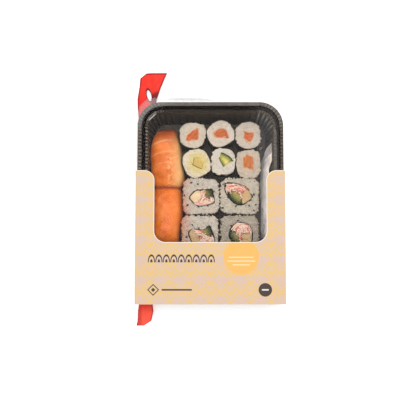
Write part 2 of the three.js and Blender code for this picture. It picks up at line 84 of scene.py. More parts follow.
class TrayLooks(PropertyGroup):
    pitch: size("Pitch", "Distance from one rib to the next", 3.45)
    flute: size("Fold", "Depth of the folds in the corners of the wall", 0.9)
    rib: size("Rib", "Height of the ribs on the ledge", 0.7)
    seal: size("Seal", "Height of the ridges pressed into the rim", 0.35)
    sheet: size("Sheet", "Thickness of the formed sheet", 0.7)
    plastic: colour("Plastic", "Colour of the formed sheet", 50, 40, 27)
    # Painted highlight: the paler colour painted on the crests of the ridges, ribs and folds and on the
    # flat rim, in place of glints of light; the tray's floor is painted a little paler with it too.
    painted_highlight: colour("Highlight", "Greyer colour of the ribs, ridges and folds", 149, 143, 136)
    film: colour("Film", "Colour of the film where it is sealed and milky", 176, 172, 172)


class SleeveLooks(PropertyGroup):
    scale: size("Scale", "Radius of one scale of the pattern", 9.3)
    line: size("Line", "Distance from one line of a scale to the next", 2.2)
    board: colour("Board", "Printed ground", 199, 174, 163)
    print: colour("Print", "Lines of the pattern", 214, 178, 106)
    accent: colour("Accent", "Large round field", 225, 171, 91)
    ink: colour("Ink", "Dark bars and the small round field", 62, 50, 44)
    core: colour("Core", "Cut edge and inside of the board", 205, 198, 188)


class PacketLooks(PropertyGroup):
    valley: size("Valley", "How far the wrapper sinks between the two sticks", 1.1)
    crease: size("Crease", "Height of the wrapper's creases", 0.22)
    paper: colour("Wrapper", "Colour of the chopstick packet", 230, 36, 22)
    # Painted shade: the dark red painted into the folds, round the hang hole, along the edges and in the
    # tucked near end.
    shade: colour("Fold", "Colour inside the wrapper's folds", 118, 4, 16)
    foil: colour("Sachet", "Colour of the sauce sachet", 246, 230, 217)
    mark: colour("Mark", "Small marks on the sachet", 62, 42, 96)


class RiceLooks(PropertyGroup):
    length: size("Length", "Length of a cooked grain", 4.9)
    width: size("Width", "Width of a cooked grain", 2.5)
    spacing: size("Spacing", "Closest distance between grains", 2.15)
    warm: colour("Warm rice", "Rice of the thin rolls", 208, 192, 172)
    cool: colour("Cool rice", "Rice of the inside-out rolls", 188, 175, 160)
    seaweed: colour("Seaweed", "Nori sheets", 34, 34, 24)
    seed: colour("Seed", "Black sesame", 38, 32, 28)


class FillingLooks(PropertyGroup):
    salmon: colour("Salmon", "Salmon slices of the nigiri", 222, 106, 4)
    fat: colour("Fat", "Fat of the salmon", 238, 188, 122)
    cube: colour("Salmon filling", "Salmon in the thin rolls", 182, 78, 16)
    omelette: colour("Omelette", "Omelette filling", 198, 166, 84)
    cucumber: colour("Cucumber", "Cucumber flesh", 138, 132, 48)
    peel: colour("Inner cucumber", "Cucumber flesh in the inside-out rolls", 84, 80, 34)
    skin: colour("Cucumber skin", "Cucumber skin", 40, 44, 14)
    avocado: colour("Avocado", "Avocado filling", 186, 152, 104)
    surimi: colour("Surimi", "Pale threads of the surimi", 240, 208, 188)
    red: colour("Surimi red", "Red threads of the surimi", 214, 96, 70)


class StageLooks(PropertyGroup):
    distance: size("Distance", "From the camera to the middle of the pack", 700)
    lens: FloatProperty(name="Lens", description="Focal length on a 36 mm sensor", default=65.74, min=10)
    tilt: FloatProperty(
        name="Tilt", description="How far the view leans from straight down", default=math.radians(5),
        unit="ROTATION",
    )
    floor: colour("Floor", "Pale floor", 247, 247, 247)
    sky: FloatProperty(name="Sky", description="Strength of the light from all round", default=0.96, min=0)
    key: FloatProperty(name="Key", description="Power of the large soft light in watts", default=6.4, min=0)


GROUPS = {
    "tray": TrayLooks,
    "sleeve": SleeveLooks,
    "packet": PacketLooks,
    "rice": RiceLooks,
    "filling": FillingLooks,
    "stage": StageLooks,
}


class SushiLooks(PropertyGroup):
    tray: PointerProperty(type=TrayLooks)
    sleeve: PointerProperty(type=SleeveLooks)
    packet: PointerProperty(type=PacketLooks)
    rice: PointerProperty(type=RiceLooks)
    filling: PointerProperty(type=FillingLooks)
    stage: PointerProperty(type=StageLooks)


# ---- Finishes ----


def maths(operation, swapped=False):
    """A method that adds a Math node for a value and another, in the other order if swapped."""

    def method(self, other=0.0):
        first, second = (other, self) if swapped else (self, other)
        return self.finish.node("ShaderNodeMath", {"operation": operation}, {0: first, 1: second})

    return method


class Value:
    """A number that varies over a surface. Arithmetic on it adds Math nodes."""

    def __init__(self, finish, socket):
        self.finish = finish
        self.socket = socket

    __add__ = __radd__ = maths("ADD")
    __sub__ = maths("SUBTRACT")
    __rsub__ = maths("SUBTRACT", swapped=True)
    __mul__ = __rmul__ = maths("MULTIPLY")
    __truediv__ = maths("DIVIDE")
    __pow__ = maths("POWER")
    __mod__ = maths("FLOORED_MODULO")
    __abs__ = maths("ABSOLUTE")
    most = maths("MAXIMUM")
    least = maths("MINIMUM")
    round_down = maths("FLOOR")

    def rise(self, low, high):
        """0 below low, 1 above high and smooth between, or the other way round if high is less."""
        inputs = {"Value": self, "From Min": low, "From Max": high}
        return self.finish.node("ShaderNodeMapRange", {"interpolation_type": "SMOOTHSTEP"}, inputs)

    def stripe(self):
        """0.5 at each whole number and 0 halfway between."""
        return abs(self % 1.0 - 0.5)


def hypot(across, along):
    return (across * across + along * along) ** 0.5


def along_and_aside(dx, dy, angle):
    """Offsets measured along a direction and square to it."""
    return dx * math.cos(angle) + dy * math.sin(angle), dy * math.cos(angle) - dx * math.sin(angle)


def most_of(*values):
    """The greatest of several values."""
    return reduce(Value.most, values)


class Finish:
    """A material with one principled shader. Places are in millimetres."""

    def __init__(self, name, constants):
        self.material = bpy.data.materials.new(name)
        self.material.use_nodes = True
        self.tree = self.material.node_tree
        self.shader = self.tree.nodes["Principled BSDF"]
        for socket, value in constants.items():
            self.shader.inputs[socket].default_value = value
        where = self.node("ShaderNodeTexCoord", output="Object")
        self.place = self.node("ShaderNodeVectorMath", {"operation": "SCALE"}, {0: where, "Scale": 1 / MM})
        self.x, self.y, self.z = self.parts(self.place)

    def node(self, kind, settings=(), inputs=(), output=0):
        """Adds a node: its settings, then values or links for its sockets. Gives one of its outputs."""
        node = self.tree.nodes.new(kind)
        for key, value in dict(settings).items():
            setattr(node, key, value)
        for key, value in dict(inputs).items():
            self.feed(node.inputs[key], value)
        return Value(self, node.outputs[output])

    def feed(self, socket, value):
        if isinstance(value, Value):
            self.tree.links.new(value.socket, socket)
        elif socket.type == "RGBA":
            socket.default_value = (*value[:3], 1.0)
        else:
            socket.default_value = value

    def parts(self, vector):
        split = self.node("ShaderNodeSeparateXYZ", (), {0: vector})
        outputs = split.socket.node.outputs
        return [Value(self, socket) for socket in outputs]

    def noise(self, across, detail=2.0, stretch=None):
        """Soft noise from 0 to 1 with features of a size across, stretched along the axes if asked."""
        place = self.place
        if stretch:
            place = self.node("ShaderNodeVectorMath", {"operation": "DIVIDE"}, {0: place, 1: stretch})
        inputs = {"Vector": place, "Scale": 1 / across, "Detail": detail}
        return self.node("ShaderNodeTexNoise", (), inputs, "Fac")

    def cells(self, across):
        inputs = {"Vector": self.place, "Scale": 1 / across}
        return self.node("ShaderNodeTexVoronoi", (), inputs, "Distance")

    def mix(self, factor, first, second, kind="MIX"):
        settings = {"data_type": "RGBA", "blend_type": kind}
        return self.node("ShaderNodeMix", settings, {0: factor, 6: first, 7: second}, 2)

    def tinted(self, base, shade):
        """A colour made lighter or darker by a number that is about 1."""
        grey = self.node("ShaderNodeCombineColor", (), {0: shade, 1: shade, 2: shade})
        return self.mix(1.0, base, grey, "MULTIPLY")

    def painted(self, output="Color"):
        """The colour, or the share in its alpha, that the mesh carries."""
        return self.node("ShaderNodeAttribute", {"attribute_name": "paint"}, (), output)

    def normal(self):
        geometry = self.node("ShaderNodeNewGeometry", output="True Normal")
        return self.parts(geometry)

    def disc(self, x, y, radius, u, v, soft=0.12):
        return hypot(u - x, v - y).rise(radius + soft, radius - soft)

    def bar(self, x, y, half_x, half_y, u, v, corner=0.6, soft=0.12):
        across = (abs(u - x) - (half_x - corner)).most(0.0)
        along = (abs(v - y) - (half_y - corner)).most(0.0)
        return hypot(across, along).rise(corner + soft, corner - soft)

    def done(self, height=None, depth=0.0, **varying):
        """Feeds what varies, by socket name with _ for spaces, and a bump of a depth in millimetres."""
        for name, value in varying.items():
            self.feed(self.shader.inputs[name.replace("_", " ")], value)
        if height is not None:
            inputs = {"Strength": 1.0, "Distance": depth * MM, "Height": height}
            self.feed(self.shader.inputs["Normal"], self.node("ShaderNodeBump", (), inputs))
        return self.material


def inner_light(weight, colours, reach):
    """Constants of a material that light enters: how much, how far by colour, and the scale of that."""
    return {"Subsurface Weight": weight, "Subsurface Radius": colours, "Subsurface Scale": reach * MM}


# Moist foods: roughness, size and depth of their grain in millimetres, how mottled they are, how much light
# enters them and how far, and their shine.
FOODS = {
    "cooked_rice": (0.42, 0.9, 0.05, 0.10, 0.2, 1.2, 0.4),
    "salmon_cut": (0.36, 0.8, 0.12, 0.16, 0.2, 1.5, 0.2),
    "cut_vegetable": (0.32, 0.7, 0.08, 0.14, 0.1, 1.0, 0.15),
    "cooked_egg": (0.5, 0.6, 0.12, 0.2, 0.1, 1.0, 0.4),
    "avocado_flesh": (0.45, 0.7, 0.08, 0.14, 0.1, 1.0, 0.4),
    "surimi_threads": (0.4, 0.5, 0.08, 0.12, 0.15, 1.0, 0.4),
    "sesame_black": (0.5, 0.4, 0.05, 0.2, 0.0, 1.5, 0.4),
}


def food_finish(name):
    """Moist food in the colours that its mesh carries: mottled, with fine grain in its surface."""
    gloss, grain, depth, mottle, soft, reach, shine = FOODS[name]
    finish = Finish(name, {**inner_light(soft, (1.0, 0.45, 0.25), reach), "Specular IOR Level": shine})
    patches = finish.noise(3.2, 3.0)
    fine = finish.noise(grain, 2.0)
    shade = 1.0 - mottle + (patches + fine) * mottle
    rough = gloss + (fine - 0.5) * 0.25
    return finish.done(fine, depth, Base_Color=finish.tinted(finish.painted(), shade), Roughness=rough)


# ---- Meshes ----


def add_piece(name, points, faces, material, replaces=(), paint=None):
    """A mesh piece from points in millimetres. It rides on the pack and stands for the CAD nodes named."""
    mesh = bpy.data.meshes.new(name)
    mesh.from_pydata((np.asarray(points) * MM).tolist(), [], [tuple(face) for face in faces])
    if paint is not None:
        layer = mesh.color_attributes.new("paint", "FLOAT_COLOR", "POINT")
        rgba = np.ones((len(mesh.vertices), 4), np.float32)
        rgba[:, : paint.shape[1]] = paint
        layer.data.foreach_set("color", rgba.ravel())
    work = bmesh.new()
    work.from_mesh(mesh)
    bmesh.ops.recalc_face_normals(work, faces=work.faces)
    work.to_mesh(mesh)
    work.free()
    mesh.polygons.foreach_set("use_smooth", [True] * len(mesh.polygons))
    mesh.materials.append(material)
    piece = bpy.data.objects.new(name, mesh)
    bpy.context.scene.collection.objects.link(piece)
    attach(piece, BODY)
    if replaces:
        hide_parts(*replaces)
    return piece


def dress(material, *nodes):
    """Gives CAD nodes whose shape stays a finish."""
    for node in nodes:
        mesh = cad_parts[node].data
        mesh.materials.clear()
        mesh.materials.append(material)


def strip_faces(rows, columns, first=0):
    """Faces that join rows of points which run round a closed ring."""
    index = first + np.arange(rows * columns).reshape(rows, columns)
    index = np.hstack([index, index[:, :1]])
    corners = [index[:-1, :-1], index[:-1, 1:], index[1:, 1:], index[1:, :-1]]
    return np.stack(corners, -1).reshape(-1, 4).tolist()


def rings_to_mesh(rings):
    """Points and faces of rings joined in order, with a fan over the first and the last."""
    rings = np.asarray(rings, float)
    rows, columns = rings.shape[:2]
    points = np.vstack([rings.reshape(-1, 3), rings[0].mean(0), rings[-1].mean(0)])
    faces = strip_faces(rows, columns)
    for start, middle in ((0, rows * columns), ((rows - 1) * columns, rows * columns + 1)):
        faces += [(start + i, start + (i + 1) % columns, middle) for i in range(columns)]
    return points, faces


def join(*parts):
    """Several meshes, each points, faces and colours, as one."""
    points, faces, paints, first = [], [], [], 0
    for part_points, part_faces, part_paint in parts:
        points.append(part_points)
        paints.append(part_paint)
        faces += [tuple(first + corner for corner in face) for face in part_faces]
        first += len(part_points)
    return np.vstack(points), faces, np.vstack(paints)


def limits(node):
    """Lowest and highest corner of a CAD node, in millimetres."""
    return [np.array(corner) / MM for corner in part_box(node)]


def triangles(node):
    """Corners and outward directions of a CAD node's triangles, in millimetres."""
    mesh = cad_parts[node].data
    mesh.calc_loop_triangles()
    points = np.array([vertex.co for vertex in mesh.vertices]) / MM
    corners = points[np.array([triangle.vertices for triangle in mesh.loop_triangles])]
    across = np.cross(corners[:, 1] - corners[:, 0], corners[:, 2] - corners[:, 0])
    area = np.linalg.norm(across, axis=1)
    keep = area > 1e-9
    return corners[keep], across[keep] / area[keep, None], area[keep] / 2


def tree_of(*nodes, facing=None):
    """A search tree over the faces of CAD nodes, or over those that face one way."""
    corners = []
    for node in nodes:
        where, out, _ = triangles(node)
        corners.append(where if facing is None else where[out @ facing > 0.45])
    corners = np.vstack(corners)
    faces = np.arange(len(corners) * 3).reshape(-1, 3)
    return BVHTree.FromPolygons(corners.reshape(-1, 3).tolist(), faces.tolist())


def distance(tree, points):
    return np.array([tree.find_nearest(Vector(point))[3] for point in points])


def remeshed(node, voxel, passes=3):
    """The shape of a CAD node in small even faces: points in millimetres, directions and faces."""
    work = bpy.data.objects.new("work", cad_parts[node].data.copy())
    bpy.context.scene.collection.objects.link(work)
    voxels = work.modifiers.new("voxels", "REMESH")
    voxels.mode, voxels.voxel_size = "VOXEL", voxel * MM
    soften = work.modifiers.new("soften", "SMOOTH")
    soften.iterations = passes
    mesh = work.evaluated_get(bpy.context.evaluated_depsgraph_get()).to_mesh()
    points = np.array([vertex.co for vertex in mesh.vertices]) / MM
    out = np.array([vertex.normal for vertex in mesh.vertices])
    faces = [tuple(face.vertices) for face in mesh.polygons]
    bpy.data.objects.remove(work)
    return points, out, faces


def ripple(points, across, seed, waves=9):
    """A smooth random field, mostly from -1 to 1, with swells of a size across."""
    rng = np.random.default_rng(seed)
    ways = rng.normal(size=(waves, 3))
    ways /= np.linalg.norm(ways, axis=1)[:, None]
    pitch = TURN / (2 * across * rng.uniform(0.7, 1.5, waves))
    phase = points @ (ways * pitch[:, None]).T + rng.uniform(0, TURN, waves)
    return np.sin(phase).sum(1) / math.sqrt(waves)


def smooth(value, low, high):
    share = np.clip((value - low) / (high - low), 0, 1)
    return share * share * (3 - 2 * share)


def blend(first, second, share):
    share = np.clip(np.asarray(share), 0, 1)[..., None]
    return np.asarray(first) * (1 - share) + np.asarray(second) * share


def nearest_on_line(points, line):
    """How far points lie from a line through corners, seen from above, and the nearest places on it."""
    line = np.asarray(line, float)
    start, step = line[:-1], np.diff(line, axis=0)
    flat = points[:, None, :2]
    share = np.clip(((flat - start) * step).sum(2) / (step**2).sum(1), 0, 1)
    places = start + share[..., None] * step
    away = np.linalg.norm(flat - places, axis=2)
    best = away.argmin(1)
    index = np.arange(len(points))
    return away[index, best], places[index, best]


def line_distance(points, line):
    return nearest_on_line(points, line)[0]


def within(points, outline):
    """Whether points lie inside an outline, seen from above."""
    start = np.asarray(outline, float)
    end = np.roll(start, -1, 0)
    x, y = points[:, :1], points[:, 1:2]
    spans = (start[:, 1] > y) != (end[:, 1] > y)
    rise = np.where(end[:, 1] == start[:, 1], 1e-9, end[:, 1] - start[:, 1])
    cross = start[:, 0] + (y - start[:, 1]) / rise * (end[:, 0] - start[:, 0])
    return (spans & (x < cross)).sum(1) % 2 == 1


# ---- Grains, threads and seeds ----


def spindle(sides=6, rings=4, blunt=0.7):
    """A rounded grain of length 1 along X and width 1."""
    points = [(-0.5, 0, 0)]
    for ring in range(1, rings + 1):
        angle = math.pi * ring / (rings + 1)
        radius = 0.5 * math.sin(angle) ** blunt
        for side in range(sides):
            turn = TURN * side / sides
            points.append((-0.5 * math.cos(angle), radius * math.cos(turn), radius * math.sin(turn)))
    points.append((0.5, 0, 0))
    faces = [(0, 1 + (side + 1) % sides, 1 + side) for side in range(sides)]
    faces += strip_faces(rings, sides, 1)
    last = 1 + (rings - 1) * sides
    faces += [(last + side, last + (side + 1) % sides, last + sides) for side in range(sides)]
    return np.array(points), faces


def spread(node, spacing, wanted, rng, tries=9):
    """Random places on a CAD node where wanted(places, directions) holds, never closer than a spacing."""
    corners, out, area = triangles(node)
    count = int(tries * area.sum() / spacing**2)
    pick = rng.choice(len(area), count, p=area / area.sum())
    u, v = rng.random((2, count))
    over = u + v > 1
    u[over], v[over] = 1 - u[over], 1 - v[over]
    a, b, c = corners[pick].transpose(1, 0, 2)
    places = a + u[:, None] * (b - a) + v[:, None] * (c - a)
    good = wanted(places, out[pick])
    places, out = places[good], out[pick][good]
    chosen = []
    for index, place in enumerate(places):
        if not chosen or ((places[chosen] - place) ** 2).sum(1).min() > spacing**2:
            chosen.append(index)
    return places[chosen], out[chosen]


def scatter(template, places, out, sizes, rng, walls=None, turn_within=0.0, tilt=0.25, cut=None):
    """Copies of a template lying on a surface, turned along any wall that is near.

    Cut gives how far each place lies below the surface and how far a copy may stand out of it.
    """
    points, faces = template
    count = len(places)
    along = np.cross(out, rng.normal(size=(count, 3)))
    along /= np.linalg.norm(along, axis=1)[:, None]
    if walls is not None:
        for index, place in enumerate(places):
            near, _, _, away = walls.find_nearest(Vector(place))
            if away < turn_within:
                along[index] = np.cross(out[index], place - np.array(near)) / max(away, 0.1)
    along += out * rng.normal(0, tilt, count)[:, None]
    along /= np.linalg.norm(along, axis=1)[:, None]
    aside = np.cross(out, along)
    aside /= np.linalg.norm(aside, axis=1)[:, None]
    up = np.cross(along, aside)
    axes = np.stack([along, aside, up], 1) * sizes[:, :, None]
    moved = np.einsum("pk,nkj->npj", points, axes)
    if cut is not None:
        depth, proud = cut
        height = np.einsum("npj,nj->np", moved, out) - (depth + proud)[:, None]
        moved -= (0.85 * np.clip(height, 0, None))[..., None] * out[:, None, :]
    moved += places[:, None, :]
    index = np.arange(count)[:, None] * len(points)
    all_faces = []
    for face in faces:
        all_faces += (index + np.array(face)).tolist()
    return moved.reshape(-1, 3), all_faces


def grain_sizes(count, length, width, rng):
    """Length, width and thickness of grains that are a little uneven."""
    shape = np.array([length, width, width * 0.92])
    return shape * rng.uniform(0.86, 1.1, (count, 3))


def per_grain(colours, template):
    return np.repeat(colours, len(template[0]), axis=0)


def outwards(places, ways, middle):
    """Whether directions lead away from the middle of a piece, seen from above."""
    return ((places - middle)[:, :2] * ways[:, :2]).sum(1) > 0


def squared(points, middle, half, power):
    """Pushes the outside of a rounded block towards its corners."""
    across = np.abs((points - middle)[:, :2] / half[:2]) + 1e-6
    now = (across**SOLID_POWER).sum(1) ** (1 / SOLID_POWER)
    then = (across**power).sum(1) ** (1 / power)
    push = 1 + (now / then - 1) * smooth(now, 0.6, 0.95)
    pushed = points.copy()
    pushed[:, :2] = middle[:2] + (points - middle)[:, :2] * push[:, None]
    return pushed


# How rice lies, in millimetres unless it says otherwise.
CORE_INSET, CORE_BUMP = 0.22, 0.12  # how far the core stays back, and how far it is uneven
HOLE_BAND = 0.95  # points of the core nearer to the filling than this follow its outline
NO_SIDES = 100.0  # a height that no side reaches: grains on the top only
SINK = (0.30, 0.46)  # how deep the middle of a grain lies, in widths
# How far grains stand out on top and at the sides, and how much more along the upper edge.
TOP_PROUD, SIDE_PROUD, EDGE_PROUD = 0.22, 0.42, 0.5


def rice_piece(
    node, rice, base, walls, seed, sides_from, material, stain_and_reflection=None, power=SOLID_POWER, over=0.0,
    hole=None, lean=0.0,
):
    """Grains over their own core, in place of a CAD node of rice.

    Grains lie on the top and on the sides above a height. Stain_and_reflection is a colour, what it spreads
    from and how far: the stain that a filling leaves in the thin rolls, and a painted reflection of the
    salmon in the inside-out rolls beside it. Over is how far the upper edge swells out, as cut rolls do
    where the knife presses the rice over the seaweed. Hole is the outline of the filling at the top, whose
    foot is set back by lean.
    """
    rng = np.random.default_rng(seed)
    low, high = limits(node)
    top = high[2]
    middle, half = (low + high) / 2, (high - low) / 2
    filling = walls[-1]
    walls = tree_of(*walls)
    length, width, spacing = rice.length / MM, rice.width / MM, rice.spacing / MM

    def swollen(where):
        way = (where - middle)[:, :2]
        share = (np.abs(way / half[:2]) ** 3).sum(1) ** (1 / 3)
        edge = smooth(share, 0.7, 0.95) * smooth(where[:, 2], top - 1.8, top - 0.6)
        swell = over * edge * (1 + 0.25 * ripple(where, 4, seed + 7))
        moved = where.copy()
        moved[:, :2] += way / np.maximum(np.linalg.norm(way, axis=1), 1)[:, None] * swell[:, None]
        return moved

    points, out, faces = remeshed(node, 0.7 if over else 0.9, 1)
    away = distance(walls, points)
    outer = outwards(points, out, middle) | (out[:, 2] > 0.5)
    points = squared(points, middle, half, power)
    shrink = np.where(outer, CORE_INSET, 0.0) * smooth(away, 0.6, 1.6)
    points = points - out * (shrink + CORE_BUMP * (ripple(points, 1.6, seed) + 0.4) * (away > 1))[:, None]
    points = swollen(points)
    if hole is not None:
        ring = [*hole, hole[0]]
        back = lean * (top - points[:, 2]) / (top - low[2])
        upright = points + np.outer(back, (0, 1, 0))
        beside = distance(tree_of(filling), points) < HOLE_BAND
        fitted = nearest_on_line(upright, ring)[1] - np.outer(back, (0, 1))
        points[beside, :2] = fitted[beside]

    def wanted(places, ways):
        upper = (ways[:, 2] > 0.5) & (places[:, 2] > top - 3.0)
        side = (np.abs(ways[:, 2]) < 0.6) & outwards(places, ways, middle) & (places[:, 2] > sides_from)
        clear = distance(walls, places) > 0.25 * width
        if hole is not None:
            clear &= ~within(places, hole) & (line_distance(places, ring) > 0.2 * width)
        return (upper | side) & clear

    places, ways = spread(node, spacing, wanted, rng)
    count = len(places)
    places = swollen(squared(places, middle, half, power))
    depth = rng.uniform(*SINK, count) * width
    # Grains stand out most along the upper edge, where the roll meets its neighbours.
    rim = smooth(places[:, 2], top - 6, top - 2)
    proud = np.where(ways[:, 2] > 0.5, TOP_PROUD, SIDE_PROUD + EDGE_PROUD * rim)
    proud = proud + rng.normal(0, 0.05, count)
    template = spindle()
    sizes = grain_sizes(count, length, width, rng)
    sunk = places - ways * depth[:, None]
    grain_points, grain_faces = scatter(
        template, sunk, ways, sizes, rng, walls, 0.3 * length, 0.35, (depth, proud)
    )
    tint = rng.normal(1.0, 0.06, (count, 1))
    warmth = rng.normal(0, 0.02, (count, 1))
    grain_paint = per_grain(np.array(base) * tint * (1 + warmth * np.array([1, 0, -1.6])), template)
    core_paint = np.tile(np.array(base) * 0.95, (len(points), 1))
    points, faces, paint = join((points, faces, core_paint), (grain_points, grain_faces, grain_paint))
    if stain_and_reflection is not None:
        hue, source, reach = stain_and_reflection
        paint = blend(paint, np.array(hue), 0.85 * (1 - smooth(distance(source, points), 0.2, reach)))
    return add_piece(f"{node}_grains", points, faces, material, [node], paint)


# The rounded upper edge of a filling: how far in and how far below its top.
BEVEL = ((0.04, 0.5), (0.16, 0.18), (0.36, 0.03))
DOME = 0.3  # how far the cut top of a filling swells


def slab(outline, low, top, lean, count=132):
    """A block with a rounded upper edge whose top swells. Lean is how far its foot is set back."""
    corners = np.asarray(outline, float)
    closed = np.vstack([corners, corners[:1]])
    run = np.concatenate([[0], np.cumsum(np.linalg.norm(np.diff(closed, axis=0), axis=1))])
    at = np.linspace(0, run[-1], count, endpoint=False)
    edge = np.column_stack([np.interp(at, run, closed[:, axis]) for axis in (0, 1)])
    for _ in range(2):
        edge = edge / 2 + (np.roll(edge, 1, 0) + np.roll(edge, -1, 0)) / 4
    way = np.roll(edge, -1, 0) - np.roll(edge, 1, 0)
    way /= np.linalg.norm(way, axis=1)[:, None]
    after = np.roll(edge, -1, 0)
    turn = np.sign((edge[:, 0] * after[:, 1] - edge[:, 1] * after[:, 0]).sum())
    inward = np.column_stack([-way[:, 1], way[:, 0]]) * turn
    middle = edge.mean(0)
    steps = [(0.0, z, 0.0) for z in np.linspace(low, top - 1.0, 9)]
    steps += [(inset, top - below, 0.0) for inset, below in BEVEL]
    inmost = BEVEL[-1][0]
    steps += [(inmost, top + DOME * share * (2 - share), share) for share in np.linspace(0.08, 0.96, 12)]
    rings = [
        np.column_stack([
            middle + (edge + inward * inset - middle) * (1 - share) - (0, lean * (top - z) / (top - low)),
            np.full(count, z),
        ])
        for inset, z, share in steps
    ]
    return rings_to_mesh(rings)


def filling_piece(
    node, material, painter, seed, outline=None, lean=0.0, rim=None, voxel=0.45, rough=0.1
):
    """A soft-edged piece of food in place of a CAD node, painted by a rule on its points.

    With an outline it is a block cut to that. Rim is a colour that the cut face turns to along its edge.
    """
    low, high = limits(node)
    if outline is None:
        points, out, faces = remeshed(node, voxel, 1)
        points = points + out * (rough * ripple(points, 1.4, seed))[:, None]
        reach = np.abs((points - (low + high) / 2)[:, :2] / ((high - low)[:2] / 2)).max(1)
        points[:, 2] += smooth(points[:, 2], high[2] - 3, high[2] - 0.5) * DOME * (1 - reach**2)
        return add_piece(f"{node}_cut", points, faces, material, [node], painter(points))
    points, faces = slab(outline, low[2], high[2], lean)
    flat = points + np.outer((high[2] - points[:, 2]) / (high[2] - low[2]), (0, lean, 0))
    paint = painter(flat)
    if rim is not None:
        edge = line_distance(flat, [*outline, outline[0]]) + 0.35 * ripple(points, 1.1, seed + 3)
        paint = blend(paint, rim, 0.75 * (1 - smooth(edge, 0.0, 0.9)))
    points[:, :2] += rough * np.column_stack([ripple(points, 1.6, seed), ripple(points, 1.6, seed + 1)])
    return add_piece(f"{node}_cut", points, faces, material, [node], paint)


# ---- Operators ----


def looks():
    return bpy.context.scene.sushi_looks


class SUSHI_OT_stage(Operator):
    """Adds the camera, the soft light and the pale floor"""

    bl_idname = "sushi.stage"
    bl_label = "Stage"

    def execute(self, context):
        stage = looks().stage
        scene = context.scene
        scene.view_settings.view_transform = "Standard"
        world = bpy.data.worlds.new("studio")
        world.use_nodes = True
        sky = world.node_tree.nodes["Background"].inputs
        sky["Color"].default_value, sky["Strength"].default_value = (1.0, 1.0, 1.0, 1.0), stage.sky
        scene.world = world

        # The lamp, the near end of the view and the floor are measured in metres.
        lamp = bpy.data.lights.new("key", "AREA")
        lamp.shape, lamp.size, lamp.energy = "SQUARE", 0.9, stage.key
        key = bpy.data.objects.new("key", lamp)
        key.location = (0.14, 0.22, 1.15)
        key.rotation_euler = (-key.location).to_track_quat("-Z", "Y").to_euler()
        scene.collection.objects.link(key)

        camera = bpy.data.cameras.new("camera")
        camera.lens, camera.sensor_width = stage.lens, 36.0
        # The pack lies a little off the middle of the picture, in shares of the picture's width.
        camera.shift_x, camera.shift_y = -0.026025, 0.0065
        camera.clip_start = 0.01
        eye = bpy.data.objects.new("camera", camera)
        aim = Vector((0, 0, 20 * MM))
        lean = Euler((stage.tilt, 0, 0)).to_matrix()
        eye.matrix_world = Matrix.Translation(aim + lean @ Vector((0, 0, stage.distance))) @ lean.to_4x4()
        scene.collection.objects.link(eye)
        scene.camera = eye

        half = 3.0
        mesh = bpy.data.meshes.new("floor")
        corners = [(half * x, half * y, 0) for x, y in ((-1, -1), (1, -1), (1, 1), (-1, 1))]
        mesh.from_pydata(corners, [], [(0, 1, 2, 3)])
        floor = bpy.data.objects.new("floor", mesh)
        floor.location.z = -0.05 * MM
        glow = {"Emission Color": (1.0, 1.0, 1.0, 1.0), "Emission Strength": 0.3}
        finish = Finish("floor", {"Specular IOR Level": 0.0, "Roughness": 1.0, **glow})
        shade = 0.98 + finish.noise(60.0, 2.0) * 0.03
        mesh.materials.append(finish.done(Base_Color=finish.tinted(stage.floor, shade)))
        scene.collection.objects.link(floor)
        return {"FINISHED"}


# The inside of the tray from the lip to the floor: how far in from the rim's edge, how far below its top,
# and how much of the seal's ridges, the ledge's ribs and the wall's folds shows there.
TRAY_PROFILE = (
    (0.0, 1.6, 0, 0, 0), (0.0, 0.45, 0, 0, 0), (0.13, 0.16, 0, 0, 0), (0.4, 0.02, 0, 0, 0),
    (0.7, 0.0, 0.3, 0, 0), (0.95, 0.0, 1, 0, 0), (2.2, 0.0, 1, 0, 0), (3.3, 0.0, 1, 0, 0),
    (3.6, 0.02, 0, 0, 0), (3.9, 0.1, 0, 0, 0), (4.15, 0.4, 0, 0, 0), (4.5, 2.2, 0, 0, 0),
    (4.8, 3.6, 0, 0, 0), (5.2, 4.0, 0, 0, 0), (6.0, 4.0, 0, 0, 0), (6.4, 3.7, 0, 0, 0),
    (6.7, 3.1, 0, 0.1, 0), (6.95, 2.85, 0, 0.6, 0), (7.2, 2.8, 0, 1, 0), (8.8, 2.85, 0, 1, 0),
    (9.2, 2.95, 0, 0.8, 0), (9.5, 3.2, 0, 0.2, 0.2), (9.8, 4.2, 0, 0, 0.6), (10.1, 6.2, 0, 0, 1),
    (10.7, 13.0, 0, 0, 1), (11.5, 22.0, 0, 0, 1), (12.4, 31.0, 0, 0, 1), (13.0, 35.7, 0, 0, 0.9),
    (13.2, 36.7, 0, 0, 0.6), (13.8, 37.5, 0, 0, 0.3), (14.6, 37.95, 0, 0, 0.1), (15.6, 38.1, 0, 0, 0),
    (22.0, 38.1, 0, 0, 0), (55.0, 38.1, 0, 0, 0),
)
# Where the sealed flat, the groove, the ledge, the ledge's outer edge and the floor lie, by how far in. On
# the far side the shade of the groove reaches over the ledge.
FLAT, GROOVE, LEDGE, LEDGE_EDGE, FLOOR = (0.3, 3.5), (3.7, 6.8), (7.0, 9.0), (7.1, 7.3), (14.0, 60.0)
FAR_SHADE = (3.7, 9.3)
RIM_RADIUS, FLOOR_RADIUS, WALL_FOOT = 22.5, 12.0, 13.0
CORNER_RIBS, RIB_STEPS = 10, 8


